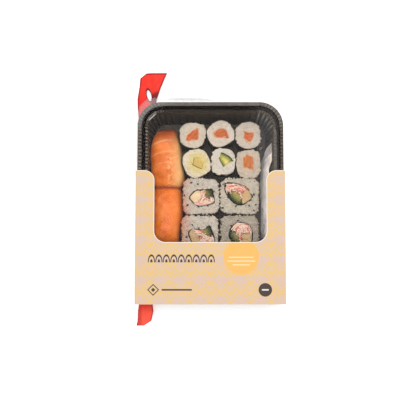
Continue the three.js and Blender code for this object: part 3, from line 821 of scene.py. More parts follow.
class Rim:
    """Places round a rectangle with round corners, in step with the ribs and with the folds of the wall."""

    def __init__(self, half_x, half_y, pitch, steps=RIB_STEPS):
        self.half = np.array([half_x, half_y])
        quarter, share, corner, phase = [], [], [], []
        for turn in range(4):
            side = 2 * round((self.half[turn % 2] - RIM_RADIUS) / pitch)
            for count, round_part in ((CORNER_RIBS, True), (side, False)):
                total = count * steps
                quarter += [turn] * total
                share += [step / total for step in range(total)]
                phase += [step / steps for step in range(total)]  # One for each rib, a half for each fold.
                corner += [round_part] * total
        self.quarter, self.share = np.array(quarter), np.array(share)
        self.phase, self.corner = np.array(phase), np.array(corner)
        angle = (self.quarter + np.where(self.corner, self.share, 1.0)) * math.pi / 2
        self.out = np.stack([np.cos(angle), np.sin(angle)], 1)
        ends = np.minimum(self.share, 1 - self.share) * 2 * (self.half - RIM_RADIUS)[self.quarter % 2]
        self.ends = np.where(self.corner, 0.0, ends)
        self.fold = np.where(self.corner, 1.0, 0.22 + 0.78 * np.exp(-ends / 7))

    def by_side(self, sides, corners):
        """One value or four for the far, left, near and right side, and for the corner before each."""
        sides, corners = (np.broadcast_to(part, 4)[self.quarter] for part in (sides, corners))
        return np.where(self.corner, corners, sides)

    def ring(self, inset, radius, z, shift=0.0):
        signs = np.array([(1, 1), (-1, 1), (-1, -1), (1, -1)])
        centres = signs * (self.half - inset - radius)
        here, after = centres[self.quarter], centres[(self.quarter + 1) % 4]
        share = np.where(self.corner, 0.0, self.share)[:, None]
        away = np.broadcast_to(radius + shift, len(share))[:, None]
        flat = here * (1 - share) + after * share + away * self.out
        return np.column_stack([flat, np.broadcast_to(z, len(flat))])


def corner_radius(inset):
    return RIM_RADIUS + (FLOOR_RADIUS - RIM_RADIUS) * min(1.0, inset / WALL_FOOT)


def between(value, band):
    return band[0] < value < band[1]


class SUSHI_OT_tray(Operator):
    """Adds the black formed tray with its sealed rim, ribbed ledge and folded wall"""

    bl_idname = "sushi.tray"
    bl_label = "Tray"

    def execute(self, context):
        look = looks().tray
        high = limits("tray")[1]
        rim = Rim(high[0], high[1], look.pitch / MM)
        wave, fold = np.cos(TURN * rim.phase), np.cos(TURN * rim.phase / 2)
        rib = smooth(wave, -0.1, 0.7)
        slant = rim.by_side((0.3, 0, 0, 0), 0)
        # The folds of the wall are sharp where they stand out and broad between.
        crease = fold + 0.3 * np.cos(TURN * rim.phase + 0.8)
        deeper = rim.by_side(1.0, (1.7, 1, 1, 1))
        # The step lies nearer the rim's edge on the right side and further from it on the left.
        moved = rim.by_side((0, -0.4, 0, 0.9), 0) * smooth(rim.ends, 0, 6)
        # How much painted highlight the ridges, the ledge's ribs, the wall's folds, the flat rim and the
        # smooth ledge get on each side.
        side_rim = rim.by_side((0.5, 0.5, 0.6, 0.3), 0.5)
        side_rib = rim.by_side((0.05, 1.1, 0.5, 0.2), 0.4)
        side_wall = rim.by_side((0.15, 0.3, 0.3, 0.6), (2.4, 0.35, 0.4, 0.8))
        side_flat = rim.by_side((0.19, 0.09, 0.02, 0.02), 0.15)
        side_ledge = rim.by_side((0, 0, 0, 0.3), 0)
        # A painted highlight runs along the ledge's outer edge in the far left corner.
        gleam = rim.by_side(0, (0, 0.9, 0, 0)) * smooth(0.28 - np.abs(rim.share - 0.5), 0, 0.08)
        flats = np.array([row[:2] for row in TRAY_PROFILE])
        ways = np.gradient(flats * (1, -1), axis=0)
        ways[0], ways[1] = (0, 1), (0, 1)
        ways /= np.linalg.norm(ways, axis=1)[:, None]
        sheets, painted_light_rows = [], []
        for thickness in (0.0, look.sheet / MM):
            rings, painted_light = [], []
            for (inset, below, seal, ledge, flute), (way_in, way_up) in zip(TRAY_PROFILE, ways):
                into, down = way_up * thickness, way_in * thickness
                ridge = np.cos(TURN * (rim.phase + slant * inset))
                z = high[2] - below - down
                z = z + look.seal / MM * seal * (ridge - 1) / 2 + look.rib / MM * ledge * rib
                shift = look.flute / MM * flute * crease * rim.fold * deeper
                shift = shift + moved * float(smooth(inset, 2.4, 3.9) * (1 - smooth(inset, 7.0, 10.4)))
                rings.append(rim.ring(inset + into, corner_radius(inset) - into, z, shift))
                # Painted highlight on the crests of the ridges, ribs and folds, on the flat rim and the
                # ledge, and a paler floor.
                mark = seal * smooth(ridge, 0.0, 0.8) * side_rim
                mark = mark + ledge * smooth(wave, 0.2, 0.95) * side_rib
                mark = mark + flute * (0.1 + 0.9 * smooth(-crease, -0.4, 1.1)) * 0.55 * side_wall
                mark = mark + side_flat * between(inset, FLAT) + gleam * between(inset, LEDGE_EDGE)
                mark = mark + side_ledge * between(inset, LEDGE) + 0.32 * between(inset, FLOOR)
                # Painted shade in the groove, which on the far side reaches over the ledge.
                dark = 0.85 * between(inset, GROOVE)
                far = (1.0 - 0.8 * (inset > LEDGE_EDGE[0])) * between(inset, FAR_SHADE)
                deep = rim.by_side((far, dark, dark, dark), dark)
                painted_light.append(np.column_stack([mark, mark, mark, deep]))
            sheets.append(rings)
            painted_light_rows.append(painted_light)
        points, faces = rings_to_mesh(sheets[0][::-1] + sheets[1])
        paint = np.zeros((len(points), 4))
        paint[:-2] = np.concatenate(painted_light_rows[0][::-1] + painted_light_rows[1])

        warm = {"Specular IOR Level": 0.14, "Specular Tint": (1.0, 0.86, 0.72, 1.0)}
        finish = Finish("formed_plastic", warm)
        streaks = finish.noise(3.0, 2.0, (1.0, 1.0, 12.0))
        blotch = finish.noise(5.0, 3.0)
        fine = finish.noise(0.5, 2.0)
        # The painted highlight turns the plastic paler, and the painted shade of the groove darkens it.
        painted_highlight = finish.painted() * (0.1 + blotch * 1.1)
        shade = (0.6 + streaks * 0.8) * (1.0 - finish.painted("Alpha"))
        base = finish.mix(painted_highlight.least(1.0), finish.tinted(look.plastic, shade), look.painted_highlight)
        rough = 0.28 + streaks * 0.2 + fine * 0.05
        plastic = finish.done(streaks, 0.08, Base_Color=base, Roughness=rough)
        # Painted shade: over the groove between the rim and the ledge a near-black dull finish is mixed in,
        # as hardly any light comes back out of it.
        dull = finish.node("ShaderNodeBsdfDiffuse", (), {"Color": linear(12, 10, 8)})
        shiny = Value(finish, finish.shader.outputs[0])
        both = finish.node("ShaderNodeMixShader", (), {0: finish.painted("Alpha") * 0.8, 1: shiny, 2: dull})
        finish.feed(finish.tree.nodes["Material Output"].inputs["Surface"], both)
        add_piece("tray_formed", points, faces, plastic, ["tray"], paint)
        return {"FINISHED"}


# The film from its edge to its middle: how far in, and how milky it is there.
FILM_PROFILE = (
    (0.0, 0.1), (0.7, 0.08), (1.4, 0.05), (3.0, 0.03), (4.0, 0.012), (5.5, 0.012), (7.5, 0.014),
    (9.5, 0.02), (11.5, 0.03), (16.0, 0.03), (23.0, 0.03), (31.0, 0.03), (40.0, 0.03), (50.0, 0.03),
)
BRINK, SEALED = 1.4, 5.0  # how wide the film's outermost strip is, and how far in it is sealed to the rim


class SUSHI_OT_film(Operator):
    """Adds the clear film lid, milky where it is sealed to the rim and along its peel tab"""

    bl_idname = "sushi.film"
    bl_label = "Film lid"

    def execute(self, context):
        look = looks().tray
        low, high = limits("film_lid")
        rim = Rim(high[0], -low[1], look.pitch / MM, 2)
        tab = high[1] + low[1]
        # The film is cut squarer than the rim at the corner over the packet.
        wider = rim.by_side(0, (0, 3.0, 0, 0)) * np.sin(math.pi * rim.share) ** 1.5
        layers, milky = [], []
        for z in (high[2], low[2]):
            rings, shares = [], []
            for inset, haze in FILM_PROFILE:
                brink = max(0.0, 1 - inset / BRINK)
                ring = rim.ring(inset, corner_radius(inset), z, wider * brink)
                outer = smooth(ring[:, 1], 72, 93.5) * (1 - smooth(ring[:, 0], -12, 18)) * brink
                ring[:, 1] += tab * outer
                flat = ring * (1, 1, 0)
                waves = ripple(flat, 14, 5) * 0.05 + ripple(flat, 4, 6) * 0.012
                ring[:, 2] += (waves - 0.04) * (inset > SEALED)
                rings.append(ring)
                # The tab is the milkiest, then the corner over the packet. The right side and the far
                # rim get a little painted sheen.
                corner = smooth(ring[:, 1] - ring[:, 0], 128, 142) * (inset < SEALED)
                sheen = 0.06 * (inset > SEALED) * smooth(ring[:, 0], 30, 56)
                sheen = sheen + 0.1 * (inset < FLAT[1]) * smooth(ring[:, 1], 60, 85)
                shares.append(haze + outer * (1 - 0.8 * corner) + 0.2 * corner + sheen)
            layers.append(rings)
            milky.append(shares)
        points, faces = rings_to_mesh(layers[0][::-1] + layers[1])
        shares = np.concatenate(milky[0][::-1] + milky[1])
        paint = np.ones((len(points), 4))
        paint[:, 3] = FILM_PROFILE[-1][1]
        paint[: len(shares), 3] = shares

        finish = Finish("clear_film", {"IOR": 1.5, "Specular IOR Level": 0.6})
        milk = finish.painted("Alpha")
        cloud = finish.noise(5.0, 3.0)
        # A painted highlight along one crease crosses the far left corner.
        ahead, aside = along_and_aside(finish.x + 54.7, finish.y - 79.0, 0.75)
        crease = finish.bar(0.0, 0.0, 4.3, 0.35, ahead, aside, 0.35, 0.25)
        alpha = milk * (0.24 + cloud * 0.24) + crease * 0.75 + 0.004
        base = finish.tinted(look.film, 0.9 + cloud * 0.2)
        film = finish.done(
            finish.noise(2.5, 2.0), 0.02, Base_Color=base, Roughness=0.12 + cloud * 0.16, Alpha=alpha
        )
        add_piece("film_sealed", points, faces, film, ["film_lid"], paint)
        return {"FINISHED"}


# The print on the sleeve's top, in millimetres. Each place is x and y.
FIELD, FIELD_RADIUS = (28.5, -52.0), 16.4
STROKES = ((-52.5, 11.5), (-56.0, 13.0), (-59.5, 8.0))  # across the field: y and half the length
ARCHES, ARCH_FOOT, ARCH_STEP = 9, (-57.9, -56.4), 6.9  # how many, where the row starts, how wide one is
BADGE, LOZENGE, RULE = (50.5, -82.4), (-52.7, -82.4), (-31.0, -82.4)
LABEL, LABEL_HALF = (0.0, -30.0), (46.0, 38.0)  # bare panel on the underside
# The centres of the window's and the ears' round corners on the right, and the radii of their edges.
WINDOW, WINDOW_RADIUS, EAR, EAR_RADIUS = (41.7, -28.0), 11.15, (61.7, 19.0), 8.9
PALE_EDGE = 0.2  # how wide the cut edge shows


class SUSHI_OT_sleeve(Operator):
    """Gives the card sleeve its print, its bare board inside and its pale cut edges"""

    bl_idname = "sushi.sleeve"
    bl_label = "Card sleeve"

    def execute(self, context):
        look = looks().sleeve
        high = limits("sleeve")[1]
        finish = Finish("printed_card", {"Specular IOR Level": 0.35})
        x, y, z = finish.x, finish.y, finish.z
        out_x, out_y, out_z = finish.normal()
        side = abs(out_x).rise(0.6, 0.8)
        top = out_z.rise(0.6, 0.8)
        # The pattern runs on round the folds: past the edge of the top it is measured down the side.
        down = high[2] - z
        u = abs(x) * (1 - side) + side * (high[0] + down)

        radius, line = look.scale / MM, look.line / MM
        row = radius / 2
        first = ((y - radius) / row + 0.0001).round_down() + 1
        lines, found = 0.0, 0.0
        for step in range(4):
            number = first + step
            offset = (number % 2.0) * radius
            from_x = radius - abs(((u - offset) % (2 * radius)) - radius)
            away = hypot(from_x, y - number * row)
            inside = away.rise(radius + 0.01, radius - 0.01)
            band = ((number + 1) % 4.0).rise(0.5, 0.6)
            mark = ((radius - away) / line).stripe().rise(0.34, 0.24) * (0.3 + 0.7 * band)
            lines = mark * inside * (1 - found) + lines
            found = inside.most(found)

        # A round field cut by the window, with pale strokes.
        field = finish.disc(*FIELD, FIELD_RADIUS, x, y)
        strokes = most_of(*(finish.bar(FIELD[0], row_y, half, 0.45, x, y, 0.4) for row_y, half in STROKES))
        # A row of plain arches.
        start, foot = ARCH_FOOT
        end = start + ARCHES * ARCH_STEP
        arch = hypot(((x - start) % ARCH_STEP) - ARCH_STEP / 2, (y - foot).most(0.0) * 0.5)
        arches = arch.rise(3.35, 3.2) * arch.rise(2.3, 2.45) + arch.rise(1.15, 1.0)
        arches = arches * y.rise(foot - 0.9, foot - 0.7)
        arches = arches * x.rise(start - 0.1, start) * x.rise(end, end - 0.1)
        # A diamond with a rule beside it, and a dark round badge with a pale bar.
        lozenge = abs(x - LOZENGE[0]) + abs(y - LOZENGE[1])
        lozenge = (lozenge.rise(5.6, 5.4) * lozenge.rise(4.2, 4.4)).most(lozenge.rise(2.1, 1.9))
        rule = finish.bar(*RULE, 14.0, 0.75, x, y)
        dark = most_of(finish.disc(*BADGE, 6.2, x, y), arches, lozenge, rule)
        pale = finish.bar(*BADGE, 3.2, 0.7, x, y, 0.5)
        panel = finish.bar(*LABEL, *LABEL_HALF, x, y, 3.0) * out_z.rise(-0.6, -0.8)
        tone = finish.noise(9.0, 3.0)
        printed = look.board
        for mark, ink in (
            (lines, look.print),
            (field * top, look.accent),
            (strokes * top * 0.7, (0.86, 0.74, 0.5)),
            (dark * top, look.ink),
            (pale * top * 0.8, (0.8, 0.74, 0.68)),
            (panel, finish.tinted(look.core, 1.0 + tone * 0.04)),
        ):
            printed = finish.mix(mark, printed, ink)

        inside = abs(x).rise(high[0] - 0.35, high[0] - 0.45)
        inside = inside * z.rise(high[2] - 0.35, high[2] - 0.45) * z.rise(0.35, 0.45)
        ends = abs(out_y).rise(0.6, 0.8)
        # The cut edge shows pale along the window and round the two ears.
        window = hypot((abs(x) - WINDOW[0]).most(0.0), (WINDOW[1] - y).most(0.0))
        ear = hypot((EAR[0] - abs(x)).most(0.0), (y - EAR[1]).most(0.0))
        ear = ear.rise(EAR_RADIUS, EAR_RADIUS + PALE_EDGE) * y.rise(WINDOW[1] - 0.5, WINDOW[1])
        ear = ear * abs(x).rise(51.9, 52.1) * abs(x).rise(69.7, 69.6)
        lip = window.rise(WINDOW_RADIUS, WINDOW_RADIUS - PALE_EDGE).most(ear) * top
        rim = abs(out_z).rise(0.7, 0.5) * z.rise(high[2] - 0.7, high[2] - 0.55) * abs(x).rise(68.4, 68.2)
        bare = most_of(inside, ends, rim)
        fibres = finish.noise(0.6, 3.0, (1.0, 3.0, 1.0))
        core = finish.tinted(look.core, 0.88 + fibres * 0.2)
        printed = finish.mix(lip * 0.75, finish.tinted(printed, 0.97 + tone * 0.06), (0.9, 0.86, 0.78))
        card = finish.mix(bare, printed, core)
        rough = 0.55 + tone * 0.12 + bare * 0.25
        dress(finish.done(fibres, 0.02, Base_Color=card, Roughness=rough), "sleeve")
        return {"FINISHED"}


# The chopstick packet from its near end to its far end: y, left side, right side, half its thickness.
PACKET = (
    (-118, -71.6, -64.4, 0.35), (-113.5, -70.6, -57.4, 0.8), (-104, -70.2, -55.2, 1.9),
    (-95.2, -69.0, -56.4, 2.8), (-60, -68.9, -56.9, 3.1), (28, -68.9, -56.9, 3.1), (60, -69.6, -56.9, 3.1),
    (84, -70.9, -56.3, 2.6), (96, -72.2, -54.6, 1.3), (105, -72.6, -53.3, 0.5), (117, -70.7, -49.2, 0.45),
    (126, -69.9, -45.4, 0.45), (131.0, -63.8, -43.0, 0.45),
)
HOLE = (-61.0, 108.6, 2.1, 5.9, 0.24)  # x, y, half width, half length and tilt of the hang hole


def bend(value, power):
    return np.sign(value) * np.abs(value) ** power


class SUSHI_OT_chopsticks(Operator):
    """Adds the red chopstick packet with its creased flap and hang hole"""

    bl_idname = "sushi.chopsticks"
    bl_label = "Chopstick packet"

    def execute(self, context):
        look = looks().packet
        floor = limits("chopsticks_wrapper")[0][2]
        table = np.array(PACKET)
        near, far = table[0, 0], table[-1, 0]
        rows = np.concatenate([
            np.linspace(near, -96, 34, endpoint=False), np.linspace(-96, 92, 70, endpoint=False),
            np.linspace(92, far, 64),
        ])
        left, right, thick = (np.interp(rows, table[:, 0], table[:, column]) for column in (1, 2, 3))
        columns = 72
        angle = TURN * np.arange(columns) / columns
        across = bend(np.cos(angle), 0.7)
        up = bend(np.sin(angle), 0.8)
        x = ((left + right) / 2)[:, None] + ((right - left) / 2)[:, None] * across
        y = np.repeat(rows[:, None], columns, 1)
        filled = (smooth(rows, -108, -98) * (1 - smooth(rows, 84, 98)))[:, None]
        top = np.clip(up, 0, 1)
        z = floor + thick[:, None] * (1 + up)
        z -= look.valley / MM * filled * top * np.exp(-((across / 0.3) ** 2))
        flat = np.stack([x, y, np.zeros_like(x)], -1).reshape(-1, 3)
        edge = 1 - np.abs(across) ** 6
        folds = np.abs(ripple(flat * (1, 0.45, 1), 6, 3)) + 0.5 * np.abs(ripple(flat, 3.5, 4))
        z += look.crease / MM * folds.reshape(x.shape) * top**0.5 * edge * 0.9
        # The flap curls up towards its far end, most on the side of the tray.
        z += 1.6 * smooth(y, 104, 129) * (0.4 + 0.6 * smooth(x, -70, -46))
        points, faces = rings_to_mesh(np.stack([x, y, z], -1))
        # The mesh carries painted shade along its side edges and its far end.
        paint = np.ones((len(points), 3))
        edge = smooth(np.abs(across), 0.8, 0.98) * np.ones_like(x)
        paint[:-2] = np.maximum(edge, smooth(y, far - 2.4, far - 0.4)).reshape(-1, 1)

        hole_x, hole_y, half_x, half_y, tilt = HOLE
        work = bmesh.new()
        bmesh.ops.create_cone(work, cap_ends=True, segments=40, radius1=1, radius2=1, depth=12)
        place = Matrix.Translation((hole_x * MM, hole_y * MM, floor * MM)) @ Matrix.Rotation(tilt, 4, "Z")
        work.transform(place @ Matrix.Diagonal((half_x * MM, half_y * MM, MM, 1.0)))
        cutter_mesh = bpy.data.meshes.new("cutter")
        work.to_mesh(cutter_mesh)
        work.free()
        cutter = bpy.data.objects.new("cutter", cutter_mesh)
        context.scene.collection.objects.link(cutter)

        finish = Finish("red_wrapper", {"Specular IOR Level": 0.16})
        px, py = finish.x, finish.y
        tone = finish.noise(5.0, 3.0)
        dx, dy = px - hole_x, py - hole_y
        aside, ahead = along_and_aside(dx, dy, tilt)
        # Painted shade round the edge of the hang hole.
        ring = hypot(aside / half_x, ahead / half_y).rise(1.5, 1.15)
        # Shaded fold beside the hole, towards the tray.
        fold = dx.rise(0.8, 2.4) * (py + dx * -0.4).rise(112.0, 106.5) * py.rise(90.0, 95.0)
        rim = finish.painted()
        crimp = (py * 0.9).stripe() * py.rise(-111.0, -113.0)
        # Painted shade stands for a tuck along the left side of the near end and for two dents there.
        tuck = px.rise(-65.2, -67.8) * py.rise(-93.0, -97.0) * (0.2 + tone * 0.4)
        dents = ((-69.9, -112.0, 1.0), (-70.6, -117.2, 1.2))
        dent = most_of(*(finish.disc(*where, px, py, 0.5) for where in dents))
        # The painted shade of the fold, the hole, the edges, the tuck and the dents turns the wrapper dark
        # red.
        shade = most_of(fold, ring, rim * 0.85, tuck, dent * 0.8)
        # Painted light: the near end, which the sleeve shades, is painted a lighter red, and the far flap
        # is a little lighter in patches.
        painted_light = py.rise(92.0, 122.0) * tone * 0.3 + py.rise(-94.0, -108.0) * (0.6 + tone * 0.6)
        base = finish.mix(painted_light, finish.tinted(look.paper, 0.84 + tone * 0.3), linear(255, 92, 72))
        base = finish.mix(shade, base, look.shade)
        paper = finish.done(
            finish.noise(1.6, 3.0) + crimp * 0.8, 0.12, Base_Color=base, Roughness=0.3 + tone * 0.2
        )
        piece = add_piece(
            "chopstick_packet", points, faces, paper, ["chopsticks_wrapper"], paint
        )
        cut = piece.modifiers.new("hole", "BOOLEAN")
        cut.operation, cut.solver, cut.object = "DIFFERENCE", "EXACT", cutter
        done = piece.evaluated_get(context.evaluated_depsgraph_get())
        mesh = bpy.data.meshes.new_from_object(done)
        piece.modifiers.clear()
        piece.data = mesh
        bpy.data.objects.remove(cutter)
        return {"FINISHED"}


# The sachet: its ends, its lower and upper edge, its thickness, the width of its end seals, where its
# lower edge stands, how far it leans for each millimetre up and how far its far end slants.
SACHET_Y, SACHET_Z, SACHET_THICK, SACHET_SEAL = (-34.0, 55.5), (3.2, 33.4), 4.4, 5.0
SACHET_X, SACHET_LEAN, SACHET_SKEW = 49.4, 0.28, 15.0
SACHET_MARKS = ((-9.0, 19.0, 4.4), (-24.5, 19.5, 4.8))  # rings: y, z and radius


class SUSHI_OT_sachet(Operator):
    """Adds the creased sauce sachet that leans on the right wall"""

    bl_idname = "sushi.sachet"
    bl_label = "Sauce sachet"

    def execute(self, context):
        look = looks().packet
        (near, far), (low, high) = SACHET_Y, SACHET_Z
        length, seal = far - near, SACHET_SEAL
        along = np.linspace(0, 1, 110)
        ends = smooth(along, 0, seal / length) * (1 - smooth(along, 1 - seal / length, 1))
        swell = 1 - 1.5 * np.abs(along - 0.5) ** 2
        fullness = np.where(ends > 0, 0.16 + (swell - 0.16) * smooth(ends, 0.0, 1.0), 0.1)
        columns = 56
        angle = TURN * np.arange(columns) / columns
        up = (1 + bend(np.sin(angle), 0.8)) / 2
        z = low + (high - low) * up[None, :] + 0 * along[:, None]
        side = bend(np.cos(angle), 0.9)[None, :]
        skew = SACHET_SKEW * (1 - up)[None, :] * smooth(along, 0.45, 1)[:, None]
        y = near + length * along[:, None] - skew
        flat = np.stack([0 * z, y, z], -1).reshape(-1, 3)
        folds = ripple(flat * (1, 1, 0.5), 6, 11) + 0.5 * np.abs(ripple(flat * (1, 1, 0.6), 4, 12))
        folds = (folds + 0.35 * np.abs(ripple(flat * (1, 0.5, 1), 2.5, 13))).reshape(z.shape)
        out = SACHET_THICK / 2 * fullness[:, None] * side * (0.55 + 0.45 * up[None, :])
        rise = (z - low) / (high - low)
        # Its upper edge leans less beyond the sleeve's corner.
        curve = SACHET_LEAN * (high - low) * rise**1.4 - 3.2 * (1 - smooth(y, 29, 41)) * rise**2
        x = SACHET_X + curve + out + 0.6 * folds * (1 - np.abs(2 * up - 1) ** 8)[None, :]
        points, faces = rings_to_mesh(np.stack([x, y, z], -1))

        glow = inner_light(0.3, (1.0, 0.95, 0.9), 3.0)
        finish = Finish("sachet_foil", {"Specular IOR Level": 0.6, "Sheen Weight": 1.0, **glow})
        tone, y, z = finish.noise(7.0, 3.0), finish.y, finish.z
        marks = most_of(*(
            finish.disc(*place, reach, y, z, 0.5) * (1 - finish.disc(*place, reach * 0.45, y, z, 0.4) * 0.6)
            for *place, reach in SACHET_MARKS
        ))
        # The top of the far end is folded over, with painted shade on the fold, and ends in a slanted ridge
        # with a painted highlight.
        slant = y - finish.x * 0.93
        flap = slant.rise(-7.9, -6.9) * (0.4 + tone * 0.5)
        ridge = slant.rise(-10.5, -9.0) * slant.rise(-7.2, -8.4)
        facets = ((y + z * 1.3 + tone * 9.0) / 11.0).stripe().rise(0.05, 0.3)
        crossed = ((y - z * 0.9 + tone * 7.0) / 17.0).stripe().rise(0.02, 0.12)
        # Painted light: the sachet is painted lighter towards its near end, where the sleeve shades it, and
        # its facets in lighter and darker stripes.
        fade = (1.36 - y.rise(10.0, 38.0) * 0.56) * (0.74 + facets * 0.2 + crossed * 0.12) + ridge * 0.2
        base = finish.tinted(look.foil, (0.88 + tone * 0.24) * fade)
        base = finish.mix(flap, base, linear(96, 88, 84))
        base = finish.mix(marks * 0.85, base, look.mark)
        crimp = (y * 0.8).stripe() * abs(y - (near + far) / 2).rise(38.5, 39.5)
        rough = 0.28 + tone * 0.22
        foil = finish.done(finish.noise(2.2, 3.0) + crimp, 0.25, Base_Color=base, Roughness=rough)
        add_piece("sachet_creased", points, faces, foil, ["sauce_sachet"])
        return {"FINISHED"}


# The outline of each salmon slice from its near end to its far end: y, left side and right side.
NIGIRI = (
    (
        (13.9, -52.2, -28.0), (16.7, -53.4, -26.6), (20.5, -54.8, -24.9), (26.2, -56.2, -24.5),
        (31.9, -56.9, -25.1), (36.7, -57.2, -26.0), (41.5, -57.4, -26.7), (46.3, -57.4, -27.2),
        (51.0, -57.2, -27.8), (55.8, -56.7, -28.6), (60.6, -55.5, -29.5), (65.5, -53.0, -30.9),
        (68.6, -50.2, -32.0), (70.4, -46.0, -33.4),
    ),
    (
        (-42.4, -52.0, -31.0), (-38.0, -54.4, -29.4), (-30.0, -55.9, -28.8), (-24.0, -56.2, -28.2),
        (-18.0, -56.4, -27.2), (-12.0, -56.4, -26.5), (-4.0, -56.3, -26.3), (4.0, -55.8, -26.6),
        (9.0, -54.6, -27.2), (12.0, -53.6, -28.0), (13.8, -52.4, -28.6),
    ),
)
SLICE_CREST, SLICE_THICK = 29.6, 3.4
# How low a slice hangs on its inner side and at the wall, and how far its ends droop where the two meet
# and where they are free.
INNER_EDGE, WALL_EDGE, MEETING_DROOP, FREE_DROOP = 9.0, 22.5, 5.0, 9.5
MUSCLE = 60.0  # the length that counts as 1 along the muscle
SLICE_X = -41.8  # the middle line of both slices


class SUSHI_OT_nigiri(Operator):
    """Adds the two salmon nigiri: a streaked slice over pressed rice"""

    bl_idname = "sushi.nigiri"
    bl_label = "Nigiri"

    def execute(self, context):
        look, rice = looks().filling, looks().rice
        glow = inner_light(0.25, (1.0, 0.35, 0.15), 2.5)
        finish = Finish("salmon_slice", {**glow, "Specular IOR Level": 0.32})
        # The mesh carries in red how far along the muscle a point lies, in green how far across, and in
        # blue how dark it is: painted shade at the ends and along the side by the wall, and a darker far
        # part.
        muscle = finish.node("ShaderNodeSeparateColor", (), {0: finish.painted()})
        outputs = muscle.socket.node.outputs
        along, across, dark = (Value(finish, socket) for socket in outputs)
        # The second piece counts on from the first: it has nearly no lines of fat.
        first = along.rise(1.3, 1.1)
        rich = along.rise(0.3, 0.85) * 0.6 * first + 0.12
        wobble = (finish.noise(9.0, 2.0) - 0.5) * 3.0 + (finish.noise(2.5, 2.0) - 0.5) * 1.0
        place = along * MUSCLE + wobble
        wide = (place / 10.6).stripe().rise(0.125, 0.035) * across.rise(0.95, 0.5)
        wide = wide * (0.45 + finish.noise(7.0, 1.0) * 0.9)
        thin = (place / 3.1).stripe().rise(0.16, 0.0) * 0.16
        fat = wide.most(thin) * rich
        patch, swathe = finish.noise(8.0, 1.0), finish.noise(15.0, 1.0)
        lattice = finish.noise(2.4, 3.0).rise(0.46, 0.6) * across.rise(0.38, 0.66)
        lattice = lattice * along.rise(0.75, 0.5) * first
        pale = across.rise(0.55, 0.95) * (0.4 + finish.noise(3.0, 3.0) * 0.9) * (first * 0.8 + 0.15)
        base = finish.tinted(look.salmon, (0.84 + patch * 0.34) * (1.07 - first * 0.14))
        base = finish.mix(swathe.rise(0.42, 0.62) * 0.45, base, linear(246, 138, 52))
        base = finish.mix(pale.most(lattice * 0.6), base, look.fat)
        base = finish.mix(fat * 0.74, base, linear(240, 182, 132))
        # Painted shade darkens the salmon to a deep red-brown where the blue asks for it.
        base = finish.mix(dark * 0.85, base, linear(150, 62, 30))
        salmon = finish.done(
            finish.noise(1.6, 2.0) * 0.2 - fat * 0.5, 0.07, Base_Color=base, Roughness=0.3 + patch * 0.16
        )

        rows, columns = 90, 46
        for index, outline in enumerate(NIGIRI):
            name = f"nigiri_{index + 1}"
            table = np.array(outline)
            near, far = table[0, 0], table[-1, 0]
            share = np.linspace(-1, 1, rows)
            share = (np.sign(share) * (1 - (1 - np.abs(share)) ** 1.5))[:, None]
            y = (near + far) / 2 + share * (far - near) / 2
            left, right = (np.interp(y, table[:, 0], table[:, column]) for column in (1, 2))
            angle = np.linspace(0, math.pi, columns)[None, :]
            side = (1 - np.cos(angle)) / 2
            sheets = []
            for depth in (0.0, SLICE_THICK):
                fall = np.where(share * (index - 0.5) > 0, MEETING_DROOP, FREE_DROOP)
                top = SLICE_CREST - fall * np.abs(share) ** 5 - 0.5 * np.sin(5 * share + index) - depth
                edge = np.minimum(INNER_EDGE + (WALL_EDGE - INNER_EDGE) * side, top - 2.5)
                z = edge + (top - edge) * np.sin(angle) ** 0.7
                x = (left + right) / 2 + ((right - left) / 2 - depth) * bend(np.cos(angle), 0.8)
                sheets.append(np.stack([x, y + 0 * angle, z], -1))
            upper, lower = sheets
            local = upper.reshape(-1, 3)
            swell = 0.3 * ripple(local * (1, 1.6, 1), 7, 31 + index) + 0.12 * ripple(local, 2.4, 41 + index)
            upper[..., 2] += swell.reshape(rows, columns) * np.sin(angle) ** 0.5
            # One closed ring across the slice at each row: over the top and back underneath.
            points, faces = rings_to_mesh(np.concatenate([upper, lower[:, ::-1]], 1))
            x, y = points[:, 0] - SLICE_X, points[:, 1] - (near + far) / 2
            end = np.abs(y) / ((far - near) / 2)
            # Painted shade at the drooping ends and along the side by the wall, and a darker far part, most
            # on the first slice.
            shade = smooth(end, 0.88, 1.0) * 0.9 + 0.35 * smooth(-x, 9, 15)
            shade = shade + (0.88 - 0.78 * index) * smooth(y, 10, 26)
            muscle_y = y - 0.10 * x + 0.016 * x * x + (31, 153)[index]
            paint = np.column_stack([muscle_y / MUSCLE, x / 30 + 0.5, shade])
            add_piece(f"{name}_slice", points, faces, salmon, [f"{name}_salmon"], paint)
            rice_piece(
                f"{name}_rice", rice, rice.warm, [f"{name}_salmon"], 60 + index, 4.0,
                bpy.data.materials["cooked_rice"],
            )
        return {"FINISHED"}


